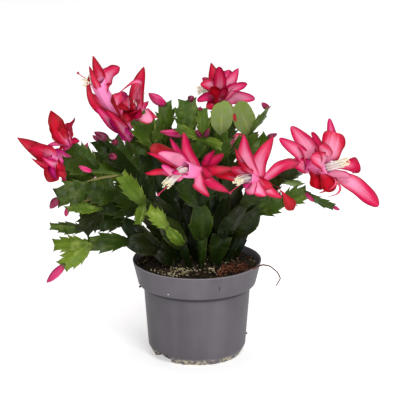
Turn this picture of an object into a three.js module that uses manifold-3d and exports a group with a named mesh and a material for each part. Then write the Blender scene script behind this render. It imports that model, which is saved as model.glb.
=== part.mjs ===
// A potted christmas cactus: a nursery pot full of soil, leafy stems made of flat toothed pads, and
// blooms at the stems' tips. Millimetres, +Z up. The origin is the centre of the pot's flat base, and
// the plant's best side faces -Y.
import * as THREE from "three";
import { mergeVertices } from "three/addons/utils/BufferGeometryUtils.js";
import Module from "manifold-3d";

const wasm = await Module();
wasm.setup();

// ---------- Driving dimensions ----------

const GAP = 0.35; // air between two pieces that touch
const FACES_FRONT = [0, -1, 0.3]; // the way a pad's flat side looks at roll 0
const STEEP = 0.9; // a round body that rises more steeply than this is set out from +X, not +Z
const SAME_POINT = 1e-4; // points nearer than this are one

const POT = {
  height: 90.7,
  rimRadius: 60,
  bandFootRadius: 54.4, // outside of the rim band at its lower edge
  bandHeight: 22.7,
  shoulderRadius: 49.6, // body just under the band
  chamferRadius: 45.2, // body at the top of the foot's chamfer
  chamferHeight: 9.5,
  footRadius: 40,
  bandStep: 0.8, // slope of the step under the band
  wall: 1.5,
  floor: 2.2,
  footInset: 1, // inside edge of the floor, in from the foot's radius
  sides: 24,
};
const BAND_FOOT = POT.height - POT.bandHeight;
// Heights of the inside's three corners over the outside's.
const INSIDE_RISE = { chamfer: 0.4, shoulder: -1.2, band: 1.8 };
// Two notches in the foot, each with a pocket of wall round it. Angles are in degrees.
const NOTCH = {
  azimuths: [-143, 37],
  halfAngle: 18,
  sideAngle: 2,
  radius: 34,
  height: 8.5,
  wall: 1.3,
  arcSteps: 3,
};

const SOIL = { edgeHeight: 84.4, mound: 1.8, clearAngle: 0.7 };
// A stem's round foot: how deep it stands in the soil, and how far it and its hole reach over the soil.
const PEG = { radius: 3, topRadius: 2.4, depth: 11, sides: 5, collar: 3.6, holeTop: 6, padStart: 1.8 };
const SOIL_TOP = SOIL.edgeHeight + 1;

// Sink, arch and thickness of a pad, the arch in parts of its length.
const PAD = { sink: 1.7, arch: 0.07, thickness: 1.9 };
const BUD = { sides: 4, sink: 0.12, stations: [0, 0.55, 1], foot: 0.35, tipRadius: 0.2 };
// A petal is set in the tube by a part of its radius. Lead and spread, in parts of its length, bend it,
// and turn is how much its face leans to the side that its bloom is seen from.
const PETAL = { set: 0.5, thickness: 0.9, lead: 0.3, spread: 0.2, turn: 0.7 };
// A tube bulges at its base. It is smaller on a bloom shorter than its full length.
const TUBE = {
  radii: [1.5, 3.3, 2.7, 5.2],
  stations: [0, 0.14, 0.36, 1],
  sides: 5,
  bend: 0.12,
  fullLength: 30,
  leastSize: 0.75,
};
// The bundle of stamens, its loose ends and the style, all in one brush.
const BUNDLE = { depth: 3, lead: 3, stations: [0, 0.55, 1], radii: [1.2, 1.5, 1.9], sides: 4 };
const LOOSE_ENDS = {
  count: 2,
  back: 3,
  ahead: 3.5,
  spread: 3.2,
  turn: 0.5,
  upward: [0, 0.4, 0.9],
  radii: [0.6, 1],
  sides: 4,
};
const STYLE = { back: 2, stations: [0, 0.8, 1], radii: [0.7, 0.7, 1.4], sides: 4 };

// Outlines are [place, half-width, thickness], in parts of the length, the half-width and the thickness.
// A pad runs from its thin neck past a forward tooth a side to its broad shoulders and blunt tip.
const PAD_OUTLINE = [
  [0, 0.18, 0.5],
  [0.36, 0.9, 1],
  [0.38, 0.64, 1],
  [0.76, 1, 1],
  [1, 0.7, 1],
];
// An old pad low on a stem has worn, smooth sides.
const OLD_PAD_OUTLINE = [
  [0, 0.25, 0.6],
  [0.5, 0.9, 1.2],
  [1, 0.55, 1],
];
// A petal runs from its root to its point.
const PETAL_OUTLINE = [
  [0, 0.3, 1],
  [0.4, 0.9, 1],
  [0.75, 0.82, 1],
  [1, 0, 1],
];

// ---------- Stems ----------

// A stem is where it leaves the soil, then its pads in order. A pad is the pad it grows from (-1 for
// the soil), the place of its tip, its roll from facing front in degrees, and its half-width.
// A bud is the pad it grows from, the place of its tip and its radius.
const STEMS = [
  {
    root: [-22, -6],
    pads: [
      [-1, -37, -10, 105, 20, 10],
      [0, -64, -20, 114, 10, 10.5],
      [1, -98, -34, 116, 15, 10],
      [2, -122, -42, 98, 0, 11.5],
      [2, -130, -30, 114, 20, 10],
      [0, -68, -8, 130, -20, 10.5],
      [5, -106, -24, 138, 10, 10],
      [5, -100, -12, 123, 68, 8],
      [7, -134, -12, 126, 30, 8],
    ],
    buds: [[3, -137, -46, 83, 3.8]],
  },
  {
    root: [-18, 8],
    pads: [
      [-1, -28, 4, 113, -15, 10],
      [0, -49, -6, 140, 10, 10.5],
      [1, -74, -14, 158, 15, 10.5],
      [2, -98, -20, 165, 10, 10.5],
      [3, -126, -26, 158, 0, 12.5],
      [1, -87, -22, 147, 25, 10.5],
      [5, -116, -36, 151, 72, 8],
      [1, -52, 4, 171, 25, 10],
      [7, -76, 2, 203, 0, 10],
      [7, -80, -10, 194, 35, 9],
    ],
    buds: [
      [4, -134, -28, 148, 3.8],
      [8, -91, 2, 209, 3.2],
      [9, -79, -17, 187, 3],
      [6, -119, -40, 144, 2.2],
    ],
  },
  {
    root: [-10, 18],
    pads: [
      [-1, -20, 16, 116, 30, 9],
      [0, -42, 12, 147, 0, 10],
      [1, -67, 4, 168, 10, 10],
      [2, -92, -4, 179, 20, 10],
      [3, -115, 0, 198, 0, 10.5],
      [3, -121, -17, 188, 10, 10],
      [2, -90, 12, 201, 10, 10.5],
      [0, -35, 26, 149, 40, 10],
      [7, -47, 32, 183, -20, 10],
      [8, -60, 36, 195, 30, 7],
    ],
    buds: [[6, -102, 10, 208, 2.2]],
  },
  {
    root: [-7, -13],
    pads: [
      [-1, -14, -26, 113, 10, 9],
      [0, -32, -30, 138, 20, 10],
      [1, -48, -42, 157, -15, 9],
      [2, -68, -46, 185, 0, 11],
      [3, -95, -50, 182, 70, 8],
      [2, -53, -55, 142, 10, 6.5],
      [0, -27, -46, 136, -10, 8],
      [6, -43, -58, 156, 15, 9],
    ],
    buds: [[4, -105, -52, 178, 3]],
  },
  {
    root: [4, -9],
    pads: [
      [-1, 5, -17, 119, -25, 9],
      [0, 8, -30, 152, 15, 10],
      [1, 14, -43, 185, 0, 9],
      [1, -14, -42, 178, 25, 10],
    ],
    buds: [],
  },
  {
    root: [16, -4],
    pads: [
      [-1, 23, -9, 116, 0, 11],
      [0, 42, -14, 146, 15, 10],
      [1, 63, -24, 171, 10, 9],
      [0, 27, -2, 150, -35, 10],
      [3, 34, 4, 182, 30, 9.5],
    ],
    buds: [],
  },
  {
    root: [28, 2],
    pads: [
      [-1, 38, 0, 114, -30, 9],
      [0, 56, -4, 138, 10, 10],
      [1, 78, -7, 150, 0, 10],
      [2, 100, -10, 158, 10, 9],
      [3, 125, -12, 145, 50, 5.5],
    ],
    buds: [
      [3, 107, -14, 150, 2.6],
      [4, 131, -13, 142, 1.8],
    ],
  },
  {
    root: [32, 14],
    pads: [
      [-1, 42, 18, 116, 35, 9],
      [0, 57, 20, 145, 10, 10],
      [1, 76, 14, 165, -20, 9],
      [2, 91, 4, 179, 30, 8],
      [2, 98, 22, 168, 65, 8],
    ],
    buds: [],
  },
  {
    root: [19, 14],
    pads: [
      [-1, 28, 20, 118, -35, 9],
      [0, 38, 30, 149, 25, 10],
      [1, 45, 36, 177, -20, 10],
      [2, 50, 42, 204, 15, 10],
      [3, 66, 46, 223, 70, 8],
      [3, 37, 36, 229, 0, 11.5],
      [2, 65, 48, 194, 25, 9],
    ],
    buds: [
      [4, 60, 42, 229, 2.8],
      [6, 75, 50, 197, 2.6],
    ],
  },
  {
    root: [9, 24],
    pads: [
      [-1, 10, 28, 119, 30, 9],
      [0, 14, 34, 150, -20, 10],
      [1, 17, 44, 180, 25, 10],
      [2, 20, 58, 214, 0, 10],
      [1, 23, 14, 180, -15, 10],
      [4, 22, 5, 207, -10, 9],
      [5, 23, 4, 237, 0, 12.5],
    ],
    buds: [],
  },
  {
    root: [1, 7],
    pads: [
      [-1, -4, 9, 119, -30, 9],
      [0, -6, 12, 150, 20, 10],
      [1, -7, 16, 179, -25, 10],
      [2, -9, 18, 206, 0, 10],
      [3, -9, 22, 232, 5, 10],
      [2, 6, 8, 203, 30, 9],
      [5, 4, 12, 229, 0, 8],
    ],
    buds: [
      [4, -3, 20, 241, 3.2],
      [3, -34, 8, 211, 3.4],
    ],
  },
  {
    root: [-4, 30],
    pads: [
      [-1, -14, 32, 117, 35, 9],
      [0, -24, 38, 146, -25, 10],
      [1, -31, 44, 174, 20, 10],
      [2, -28, 50, 200, 0, 10],
      [3, -29, 54, 222, 5, 10],
      [2, -50, 50, 204, 25, 10],
      [2, -38, 34, 189, 15, 8],
      [6, -55, 30, 216, 0, 11],
    ],
    buds: [[4, -44, 52, 231, 4.4]],
  },
];

// The far side's stems repeat one branching pattern, turned to an azimuth about the pot's axis.
// Its pads are told as distance from the axis, place to the side, and height.
const FAR_PATTERN = {
  root: [39, 0],
  pads: [
    [-1, 49, 4, 113, 10, 8],
    [0, 70, 10, 138, -15, 9],
    [1, 97, 13, 153, 20, 9.5],
    [2, 122, 17, 147, 10, 9],
    [1, 83, -10, 165, 15, 9],
    [4, 105, -24, 174, -10, 9],
    [0, 62, -15, 148, 30, 9],
  ],
};
const FAR_STEMS = [
  { azimuth: 36, reach: 0.8, lift: 1.0, mirror: -1 },
  { azimuth: 74, reach: 1.0, lift: 1.06, mirror: 1 },
  { azimuth: 112, reach: 1.0, lift: 1.0, mirror: -1 },
  { azimuth: 150, reach: 0.95, lift: 1.04, mirror: -1 },
];

// ---------- Blooms ----------

// A bloom runs from its base to its mouth. A petal is its root's place along the tube, the place of
// its tip, and its half-width. The anthers' brush and the stigma are places too.
const BLOOMS = [
  {
    base: [-122, -18, 190],
    mouth: [-136, -32, 188],
    petals: [
      [0.5, -160, -26, 211, 9.5],
      [0.6, -148, -46, 213, 10],
      [0.8, -150, -38, 196, 7.5],
      [0.8, -137, -48, 177, 8.5],
      [0.5, -120, -44, 175, 8],
      [0.9, -139, -56, 190, 7],
      [0.7, -147, -10, 195, 7],
    ],
  },
  {
    base: [-115.5, 0, 198.5],
    mouth: [-121, -2, 212],
    petals: [
      [0.6, -132, -4, 230, 8.5],
      [0.3, -133, -14, 217, 5],
      [0.5, -109, -4, 224, 5.5],
      [0.5, -123, -16, 226, 8.5],
      [0.15, -135, -7, 202, 4],
      [0.15, -106, -10, 208, 4.5],
      [0.6, -119, 12, 226, 7.5],
    ],
  },
  {
    base: [-61, 37, 197],
    mouth: [-91, 12, 257],
    petals: [
      [0.95, -95, 14, 279, 6.5],
      [0.95, -99, 4, 275, 5],
      [0.9, -70, 20, 267, 10],
      [0.85, -79, 0, 257, 5],
      [0.75, -95, 0, 245, 5.5],
      [0.5, -96, 16, 241, 7.5],
      [0.5, -81, 0, 250, 7],
      [0.3, -94, 18, 230, 8],
      [0.1, -79, 26, 211, 7],
      [0.9, -82, 36, 262, 8],
      [0.5, -70, 40, 240, 7],
    ],
    brush: [-100, 6, 259],
    stigma: [-109, 4, 266],
  },
  {
    base: [-50, 50, 208],
    mouth: [-59, 34, 226],
    petals: [
      [0.8, -49, 42, 260, 8.5],
      [0.9, -72, 24, 238, 5.5],
      [0.7, -39, 24, 208, 8],
      [0.6, -34, 32, 215, 6],
      [0.9, -70, 16, 226, 8],
      [0.9, -56, 12, 217, 7],
      [0.7, -66, 62, 249, 8],
      [0.4, -36, 62, 237, 7],
    ],
    brush: [-64, 18, 234],
    stigma: [-67, 10, 237],
  },
  {
    base: [20, 58.5, 215],
    mouth: [22, 72, 235],
    petals: [
      [0.95, 13, 82, 250, 6],
      [0.8, 9, 62, 248, 5.5],
      [0.75, 19, 58, 255, 8],
      [0.9, 38, 82, 246, 6.5],
      [0.6, 36, 66, 237, 5.5],
      [0.5, 46, 62, 238, 6.5],
      [0.35, 53, 56, 225, 8.5],
      [0.4, -1, 56, 224, 7],
      [0.3, 7, 48, 219, 6],
      [0.9, 30, 100, 240, 7.5],
      [0.7, 4, 94, 236, 7.5],
    ],
    brush: [25, 90, 246],
    stigma: [28, 98, 250],
  },
  {
    base: [13, -44, 189],
    mouth: [-17, -74, 199],
    petals: [
      [0.75, -42, -62, 213, 10],
      [0.7, -24, -56, 223, 6],
      [0.45, -12, -52, 227, 8],
      [0.9, -44, -82, 216, 5.5],
      [0.95, -46, -90, 197, 6.5],
      [0.2, 24, -60, 208, 7],
      [0.5, 12, -86, 177, 7],
      [0.25, 29, -70, 176, 7.5],
      [0.4, 14, -82, 195, 8],
      [0.7, -4, -90, 180, 7.5],
      [0.95, -34, -92, 216, 8],
    ],
    brush: [-26, -92, 192],
    stigma: [-35, -99, 182],
  },
  {
    base: [63, -25, 174],
    mouth: [45, -48, 183],
    petals: [
      [0.6, 41, -30, 218, 8.5],
      [0.45, 68, -34, 215, 10],
      [0.8, 34, -54, 213, 6],
      [0.85, 15, -64, 191, 7],
      [0.25, 92, -32, 192, 9],
      [0.25, 79, -34, 151, 5.5],
      [0.15, 87, -28, 142, 7],
      [0.6, 59, -48, 162, 8],
      [0.95, 29, -62, 200, 7],
      [0.8, 44, -66, 166, 7],
    ],
    brush: [36, -66, 186],
    stigma: [29, -74, 176],
  },
  {
    base: [91, 4, 179.5],
    mouth: [121, -16, 184],
    petals: [
      [0.25, 74, -12, 209, 8.5],
      [0.35, 85, 0, 215, 9],
      [0.55, 105, 2, 210, 7],
      [0.8, 120, 4, 222, 5],
      [0.85, 134, -20, 210, 12],
      [0.8, 110, -34, 205, 8.5],
      [0.8, 104, -36, 195, 8],
      [0.95, 147, 8, 185, 7],
      [0.9, 164, -20, 150, 10.5],
      [0.55, 106, -24, 163, 8],
      [0.6, 131, -26, 157, 6],
      [0.6, 122, 22, 170, 7],
    ],
    brush: [136, -24, 188],
    stigma: [145, -28, 180],
  },
];

// A far bloom stands on a far stem's pad. Its petals lie in three tiers round the tube: a tier is its
// place along the tube, the number of petals, their reach, their lean from the tube's way, half-width.
const FAR_BLOOMS = [
  { stem: 1, pad: 3, rise: 0.15 },
  { stem: 2, pad: 5, rise: 0.5 },
  { stem: 3, pad: 3, rise: 0.3 },
];
const FAR_BLOOM = { length: 34, start: 1, brush: 15, stigma: 24, turn: 0.4, rootRadius: 3 };
const FAR_TIERS = [
  { along: 0.2, count: 2, reach: 15, lean: 65, halfWidth: 5 },
  { along: 0.6, count: 2, reach: 21, lean: 80, halfWidth: 8 },
  { along: 0.95, count: 5, reach: 25, lean: 62, halfWidth: 7 },
];

// ---------- Solids ----------

const vector = (place) => new THREE.Vector3(...place);

/** A solid from a closed geometry: its shared points are merged and flat triangles dropped. */
function solidFrom(geometry) {
  const bare = new THREE.BufferGeometry();
  bare.setAttribute("position", geometry.getAttribute("position"));
  bare.setIndex(geometry.getIndex());
  const merged = mergeVertices(bare, SAME_POINT);
  const index = merged.getIndex().array;
  const kept = [];
  for (let i = 0; i < index.length; i += 3) {
    const [a, b, c] = [index[i], index[i + 1], index[i + 2]];
    if (a !== b && b !== c && c !== a) kept.push(a, b, c);
  }
  const vertProperties = new Float32Array(merged.getAttribute("position").array);
  const triVerts = new Uint32Array(kept);
  return new wasm.Manifold(new wasm.Mesh({ numProp: 3, vertProperties, triVerts }));
}

/** A closed skin over rings of points, which run anticlockwise seen from the far end. */
function skin(rings, crossed = []) {
  const count = rings[0].length;
  const points = rings.flat();
  const index = [];
  for (let ring = 0; ring < rings.length - 1; ring += 1) {
    for (let side = 0; side < count; side += 1) {
      const next = (side + 1) % count;
      const [a, b] = [ring * count + side, ring * count + next];
      const [c, d] = [a + count, b + count];
      if (crossed.includes(side)) index.push(a, b, c, b, d, c);
      else index.push(a, b, d, a, d, c);
    }
  }
  const last = (rings.length - 1) * count;
  for (let side = 1; side < count - 1; side += 1) {
    index.push(0, side + 1, side);
    index.push(last, last + side, last + side + 1);
  }
  const geometry = new THREE.BufferGeometry();
  geometry.setAttribute("position", new THREE.Float32BufferAttribute(points.flatMap((p) => p.toArray()), 3));
  geometry.setIndex(index);
  return solidFrom(geometry);
}

/** A flat blade along a bent line: four points a ring, split alike on both faces. */
function blade(root, bend, tip, side, halfWidth, outline, thickness, grow) {
  const start = root.clone().addScaledVector(bend.clone().sub(root).normalize(), -grow);
  const end = tip.clone().addScaledVector(tip.clone().sub(bend).normalize(), grow);
  const line = new THREE.QuadraticBezierCurve3(start, bend, end);
  const rings = outline.map(([along, width, thick]) => {
    const place = line.getPoint(along);
    const lift = line.getTangent(along).cross(side);
    const across = width > 0 ? width * halfWidth + grow : 0;
    const half = (thick * thickness) / 2 + grow;
    const corner = (sideways, upward) => {
      return place.clone().addScaledVector(side, sideways * across).addScaledVector(lift, upward * half);
    };
    return [corner(1, -1), corner(1, 1), corner(-1, 1), corner(-1, -1)];
  });
  return skin(rings, [3]);
}

/** A round body along a bent line, with a radius at each station, grown at its ends and round it. */
function roundBody(line, stations, radii, sides, grow, widen = grow) {
  const steep = Math.abs(line.getTangent(0).z) > STEEP;
  const reference = vector(steep ? [1, 0, 0] : [0, 0, 1]);
  const rings = stations.map((u, i) => {
    const way = line.getTangent(u);
    const side = reference.clone().cross(way).normalize();
    const lift = way.clone().cross(side);
    const centre = line.getPoint(u);
    if (i === 0) centre.addScaledVector(way, -grow);
    if (i === stations.length - 1) centre.addScaledVector(way, grow);
    return Array.from({ length: sides }, (_, k) => {
      const angle = (2 * Math.PI * k) / sides;
      return centre
        .clone()
        .addScaledVector(side, (radii[i] + widen) * Math.cos(angle))
        .addScaledVector(lift, (radii[i] + widen) * Math.sin(angle));
    });
  });
  return skin(rings);
}

const straight = (from, to) => new THREE.LineCurve3(from, to);
const joined = (solids) => solids.reduce((all, solid) => all.add(solid));

/** The largest of the bodies that a cut leaves. */
function largest(solid) {
  return solid.decompose().sort((a, b) => b.volume() - a.volume())[0];
}

// ---------- Pot and soil ----------

/** A ring sector round the pot's axis, for the notches in the foot and the wall round each. */
function sector(inner, outer, low, high, azimuth, halfAngle) {
  const [from, to] = [azimuth - halfAngle, azimuth + halfAngle].map(THREE.MathUtils.degToRad);
  const shape = new THREE.Shape();
  shape.absarc(0, 0, outer, from, to, false);
  shape.absarc(0, 0, inner, to, from, true);
  const settings = { depth: high - low, bevelEnabled: false, curveSegments: NOTCH.arcSteps };
  return solidFrom(new THREE.ExtrudeGeometry(shape, settings).translate(0, 0, low));
}

/** A [radius, height] profile that starts and ends on the axis, turned about the pot's axis. */
function turnedSolid(profile) {
  const points = profile.map(([radius, height]) => new THREE.Vector2(radius, height));
  const turned = new THREE.LatheGeometry(points, POT.sides);
  turned.rotateX(Math.PI / 2);
  return solidFrom(turned);
}

/** The pot's inside from the floor's edge up to the band, or a line the given clearance inside it. */
function liner(clearance) {
  const inset = POT.wall + clearance;
  return [
    [POT.footRadius - POT.footInset - clearance, POT.floor + clearance],
    [POT.chamferRadius - inset, POT.chamferHeight + INSIDE_RISE.chamfer + clearance],
    [POT.shoulderRadius - inset, BAND_FOOT + INSIDE_RISE.shoulder + clearance],
    [POT.bandFootRadius - inset, BAND_FOOT + INSIDE_RISE.band + clearance],
  ];
}

/** The walls that close each notch off from the inside, as solid blocks with a clearance round them. */
function notchBlocks(clearance) {
  const halfAngle = NOTCH.halfAngle + NOTCH.sideAngle + (clearance > 0 ? SOIL.clearAngle : 0);
  const inner = NOTCH.radius - NOTCH.wall - clearance;
  const high = NOTCH.height + NOTCH.wall + clearance;
  return joined(NOTCH.azimuths.map((azimuth) => sector(inner, POT.rimRadius, 0, high, azimuth, halfAngle)));
}

/** The pot's walls are a turned profile, up the outside and down the inside. */
function potSolid() {
  const outside = [
    [0, 0],
    [POT.footRadius, 0],
    [POT.chamferRadius, POT.chamferHeight],
    [POT.shoulderRadius, BAND_FOOT],
    [POT.bandFootRadius, BAND_FOOT + POT.bandStep],
    [POT.rimRadius, POT.height],
  ];
  const inside = [[POT.rimRadius - POT.wall, POT.height], ...liner(0).reverse(), [0, POT.floor]];
  const walls = turnedSolid([...outside, ...inside]);
  const filled = turnedSolid([...outside, [0, POT.height]]);
  const cuts = NOTCH.azimuths.map((azimuth) => {
    return sector(NOTCH.radius, POT.rimRadius, -NOTCH.wall, NOTCH.height, azimuth, NOTCH.halfAngle);
  });
  return walls.add(notchBlocks(0).intersect(filled)).subtract(joined(cuts));
}

/** The soil fills the pot a gap inside its walls, is a little higher in the middle, and has a hole
 * for the foot of each stem. */
function soilSolid(roots) {
  const slope = (POT.rimRadius - POT.bandFootRadius) / POT.bandHeight;
  const edgeRadius = POT.rimRadius - POT.wall - GAP - (POT.height - SOIL.edgeHeight) * slope;
  const body = turnedSolid([
    [0, POT.floor + GAP],
    ...liner(GAP),
    [edgeRadius, SOIL.edgeHeight],
    [0, SOIL.edgeHeight + SOIL.mound],
  ]);
  const holes = roots.map(([x, y]) => {
    const foot = new THREE.Vector3(x, y, SOIL_TOP - PEG.depth - GAP);
    const mouth = new THREE.Vector3(x, y, SOIL_TOP + PEG.holeTop);
    return roundBody(straight(foot, mouth), [0, 1], [PEG.radius, PEG.radius], PEG.sides, 0, GAP);
  });
  return body.subtract(joined([notchBlocks(GAP), ...holes]));
}

// ---------- Stems ----------

/** One flat pad from root to tip. Its side looks at facing, and roll turns it about its length. */
function pad(root, tip, roll, halfWidth, facing, outline, sink, grow) {
  const way = tip.clone().sub(root);
  const length = way.length();
  way.normalize();
  const level = facing.clone().addScaledVector(way, -facing.dot(way)).normalize();
  const turn = THREE.MathUtils.degToRad(roll);
  const face = level.clone().multiplyScalar(Math.cos(turn));
  face.addScaledVector(way.clone().cross(level), Math.sin(turn));
  const side = face.clone().cross(way);
  const start = root.clone().addScaledVector(way, -sink);
  const bend = start.clone().lerp(tip, 0.5).addScaledVector(face, PAD.arch * length);
  return blade(start, bend, tip, side, halfWidth, outline, PAD.thickness, grow);
}

/** A closed bud: a spindle that is fullest past its middle. */
function bud(root, tip, radius, grow) {
  const start = root.clone().lerp(tip, -BUD.sink);
  const radii = [radius * BUD.foot, radius, BUD.tipRadius];
  return roundBody(straight(start, tip), BUD.stations, radii, BUD.sides, grow);
}

/** A whole leafy stem: its round foot in the soil, its pads and its buds, in one body. */
function stemSolid(stem, grow) {
  const foot = vector([...stem.root, SOIL_TOP - PEG.depth]);
  const collar = vector([...stem.root, SOIL_TOP + PEG.collar]);
  const start = vector([...stem.root, SOIL_TOP + PEG.padStart]);
  const tips = stem.pads.map(([, x, y, z]) => vector([x, y, z]));
  const peg = roundBody(straight(foot, collar), [0, 1], [PEG.radius, PEG.topRadius], PEG.sides, 0);
  const pads = stem.pads.map(([parent, , , , roll, halfWidth], i) => {
    const root = parent < 0 ? start : tips[parent];
    const outline = parent <= 0 ? OLD_PAD_OUTLINE : PAD_OUTLINE;
    return pad(root, tips[i], roll, halfWidth, stem.facing, outline, parent < 0 ? 0 : PAD.sink, grow);
  });
  const buds = stem.buds.map(([parent, x, y, z, radius]) => {
    return bud(tips[parent], vector([x, y, z]), radius, grow);
  });
  return joined([peg, ...pads, ...buds]);
}

/** A far stem: the pattern scaled outward and upward, mirrored or not, and turned to its azimuth. */
function farStem({ azimuth, reach, lift, mirror }) {
  const turn = THREE.MathUtils.degToRad(azimuth);
  const [cos, sin] = [Math.cos(turn), Math.sin(turn)];
  const place = (out, aside) => [out * cos - aside * mirror * sin, out * sin + aside * mirror * cos];
  const outward = (out) => FAR_PATTERN.root[0] + (out - FAR_PATTERN.root[0]) * reach;
  const upward = (z) => SOIL_TOP + (z - SOIL_TOP) * lift;
  return {
    root: place(...FAR_PATTERN.root),
    facing: vector([cos, sin, FACES_FRONT[2]]),
    pads: FAR_PATTERN.pads.map(([parent, out, aside, z, roll, halfWidth]) => {
      return [parent, ...place(outward(out), aside), upward(z), roll * mirror, halfWidth];
    }),
    buds: [],
  };
}

// ---------- Blooms ----------

/** A far bloom's places, worked out from the pad that it ends. */
function farBloom({ stem, pad: index, rise }, stems) {
  const { pads, facing } = stems[STEMS.length + stem];
  const base = vector(pads[index].slice(1, 4));
  const way = new THREE.Vector3(facing.x, facing.y, rise).normalize();
  const side = new THREE.Vector3(0, 0, 1).cross(way).normalize();
  const lift = way.clone().cross(side);
  const along = (distance) => base.clone().addScaledVector(way, distance);
  const petals = FAR_TIERS.flatMap(({ along: share, count, reach, lean, halfWidth }, tier) => {
    const tilt = THREE.MathUtils.degToRad(lean);
    return Array.from({ length: count }, (_, k) => {
      const angle = (2 * Math.PI * (k + tier / 2)) / count + FAR_BLOOM.turn;
      const outward = side.clone().multiplyScalar(Math.cos(angle)).addScaledVector(lift, Math.sin(angle));
      const end = along(share * FAR_BLOOM.length + reach * Math.cos(tilt));
      end.addScaledVector(outward, reach * Math.sin(tilt) + FAR_BLOOM.rootRadius);
      return [share, ...end.toArray(), halfWidth];
    });
  });
  return {
    facing,
    base: along(FAR_BLOOM.start).toArray(),
    mouth: along(FAR_BLOOM.length).toArray(),
    petals,
    brush: along(FAR_BLOOM.length + FAR_BLOOM.brush).toArray(),
    stigma: along(FAR_BLOOM.length + FAR_BLOOM.stigma).toArray(),
  };
}

/** The tube's middle line, sagging a little from base to mouth. */
function tubeLine(bloom) {
  const [base, mouth] = [vector(bloom.base), vector(bloom.mouth)];
  const bend = base.clone().lerp(mouth, 0.5);
  bend.z -= TUBE.bend * base.distanceTo(mouth);
  return new THREE.QuadraticBezierCurve3(base, bend, mouth);
}

/** A petal leaves the tube's side at a slant, curls over to its tip, and turns its face a little to
 * the way its bloom is seen from. */
function petal(line, radius, facing, [along, x, y, z, halfWidth], grow) {
  const way = line.getTangent(along);
  const centre = line.getPoint(along);
  const tip = vector([x, y, z]);
  const reach = tip.clone().sub(centre);
  const outward = reach.clone().addScaledVector(way, -reach.dot(way)).normalize();
  const root = centre.clone().addScaledVector(outward, PETAL.set * radius);
  const bend = root.clone().addScaledVector(way, PETAL.lead * reach.length());
  bend.addScaledVector(outward, PETAL.spread * reach.length());
  const shown = way.clone().addScaledVector(facing, PETAL.turn);
  const side = reach.clone().cross(shown).normalize();
  return blade(root, bend, tip, side, halfWidth, PETAL_OUTLINE, PETAL.thickness, grow);
}

/** Tube and petals in one body. */
function petalsSolid(bloom, grow) {
  const line = tubeLine(bloom);
  const size = THREE.MathUtils.clamp(line.getLength() / TUBE.fullLength, TUBE.leastSize, 1);
  const radii = TUBE.radii.map((radius) => radius * size);
  const tube = roundBody(line, TUBE.stations, radii, TUBE.sides, grow);
  const petals = bloom.petals.map((each) => {
    const radius = THREE.MathUtils.lerp(radii[2], radii[3], each[0]);
    return petal(line, radius, bloom.facing, each, grow);
  });
  return joined([tube, ...petals]);
}

/** The bundle of stamens from the throat to its brush of anthers, and the longer style. */
function stamensSolid(bloom, grow) {
  const line = tubeLine(bloom);
  const [mouth, way] = [line.getPoint(1), line.getTangent(1)];
  const root = mouth.clone().addScaledVector(way, -BUNDLE.depth);
  const bend = mouth.clone().addScaledVector(way, BUNDLE.lead);
  const brush = vector(bloom.brush);
  const middle = new THREE.QuadraticBezierCurve3(root, bend, brush);
  const bundle = roundBody(middle, BUNDLE.stations, BUNDLE.radii, BUNDLE.sides, grow);
  const end = middle.getTangent(1);
  const side = end.clone().cross(vector(LOOSE_ENDS.upward)).normalize();
  const lift = end.clone().cross(side);
  const looseEnds = Array.from({ length: LOOSE_ENDS.count }, (_, k) => {
    const angle = (2 * Math.PI * k) / LOOSE_ENDS.count + LOOSE_ENDS.turn;
    const from = brush.clone().addScaledVector(end, -LOOSE_ENDS.back);
    const to = brush.clone().addScaledVector(end, LOOSE_ENDS.ahead);
    to.addScaledVector(side, LOOSE_ENDS.spread * Math.cos(angle));
    to.addScaledVector(lift, LOOSE_ENDS.spread * Math.sin(angle));
    return roundBody(straight(from, to), [0, 1], LOOSE_ENDS.radii, LOOSE_ENDS.sides, grow);
  });
  const styleLine = straight(brush.clone().addScaledVector(end, -STYLE.back), vector(bloom.stigma));
  const style = roundBody(styleLine, STYLE.stations, STYLE.radii, STYLE.sides, grow);
  return joined([bundle, ...looseEnds, style]);
}

// ---------- The whole plant ----------

const finish = (color, roughness) => new THREE.MeshStandardMaterial({ color, roughness, metalness: 0 });
const MATERIALS = {
  pot: finish(0x6e6a6e, 0.5),
  soil: finish(0x1d1512, 0.95),
  pads: finish(0x3f5c1e, 0.5),
  petals: finish(0xd11a45, 0.45),
  stamens: finish(0xf3e6da, 0.6),
};

const cactus = new THREE.Group();

function place(name, solid, material) {
  const { vertProperties, triVerts } = solid.getMesh();
  const geometry = new THREE.BufferGeometry();
  geometry.setAttribute("position", new THREE.BufferAttribute(vertProperties, 3));
  geometry.setIndex(new THREE.BufferAttribute(triVerts, 1));
  geometry.computeVertexNormals();
  const mesh = new THREE.Mesh(geometry, material);
  mesh.name = name;
  cactus.add(mesh);
}

const front = vector(FACES_FRONT);
const stems = [...STEMS.map((stem) => ({ ...stem, facing: front })), ...FAR_STEMS.map(farStem)];
const nearBlooms = BLOOMS.map((bloom) => ({ ...bloom, facing: front }));
const blooms = [...nearBlooms, ...FAR_BLOOMS.map((far) => farBloom(far, stems))];
const numbered = (i) => String(i + 1).padStart(2, "0");

place("pot", potSolid(), MATERIALS.pot);
place("potting_soil", soilSolid(stems.map((stem) => stem.root)), MATERIALS.soil);

// Pieces are laid down one after another, and each is cut back a gap from all those before it.
let taken = null;
function lay(name, build, material) {
  const whole = build(0);
  place(name, taken ? largest(whole.subtract(taken)) : whole, material);
  const grown = build(GAP);
  taken = taken ? taken.add(grown) : grown;
}

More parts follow.
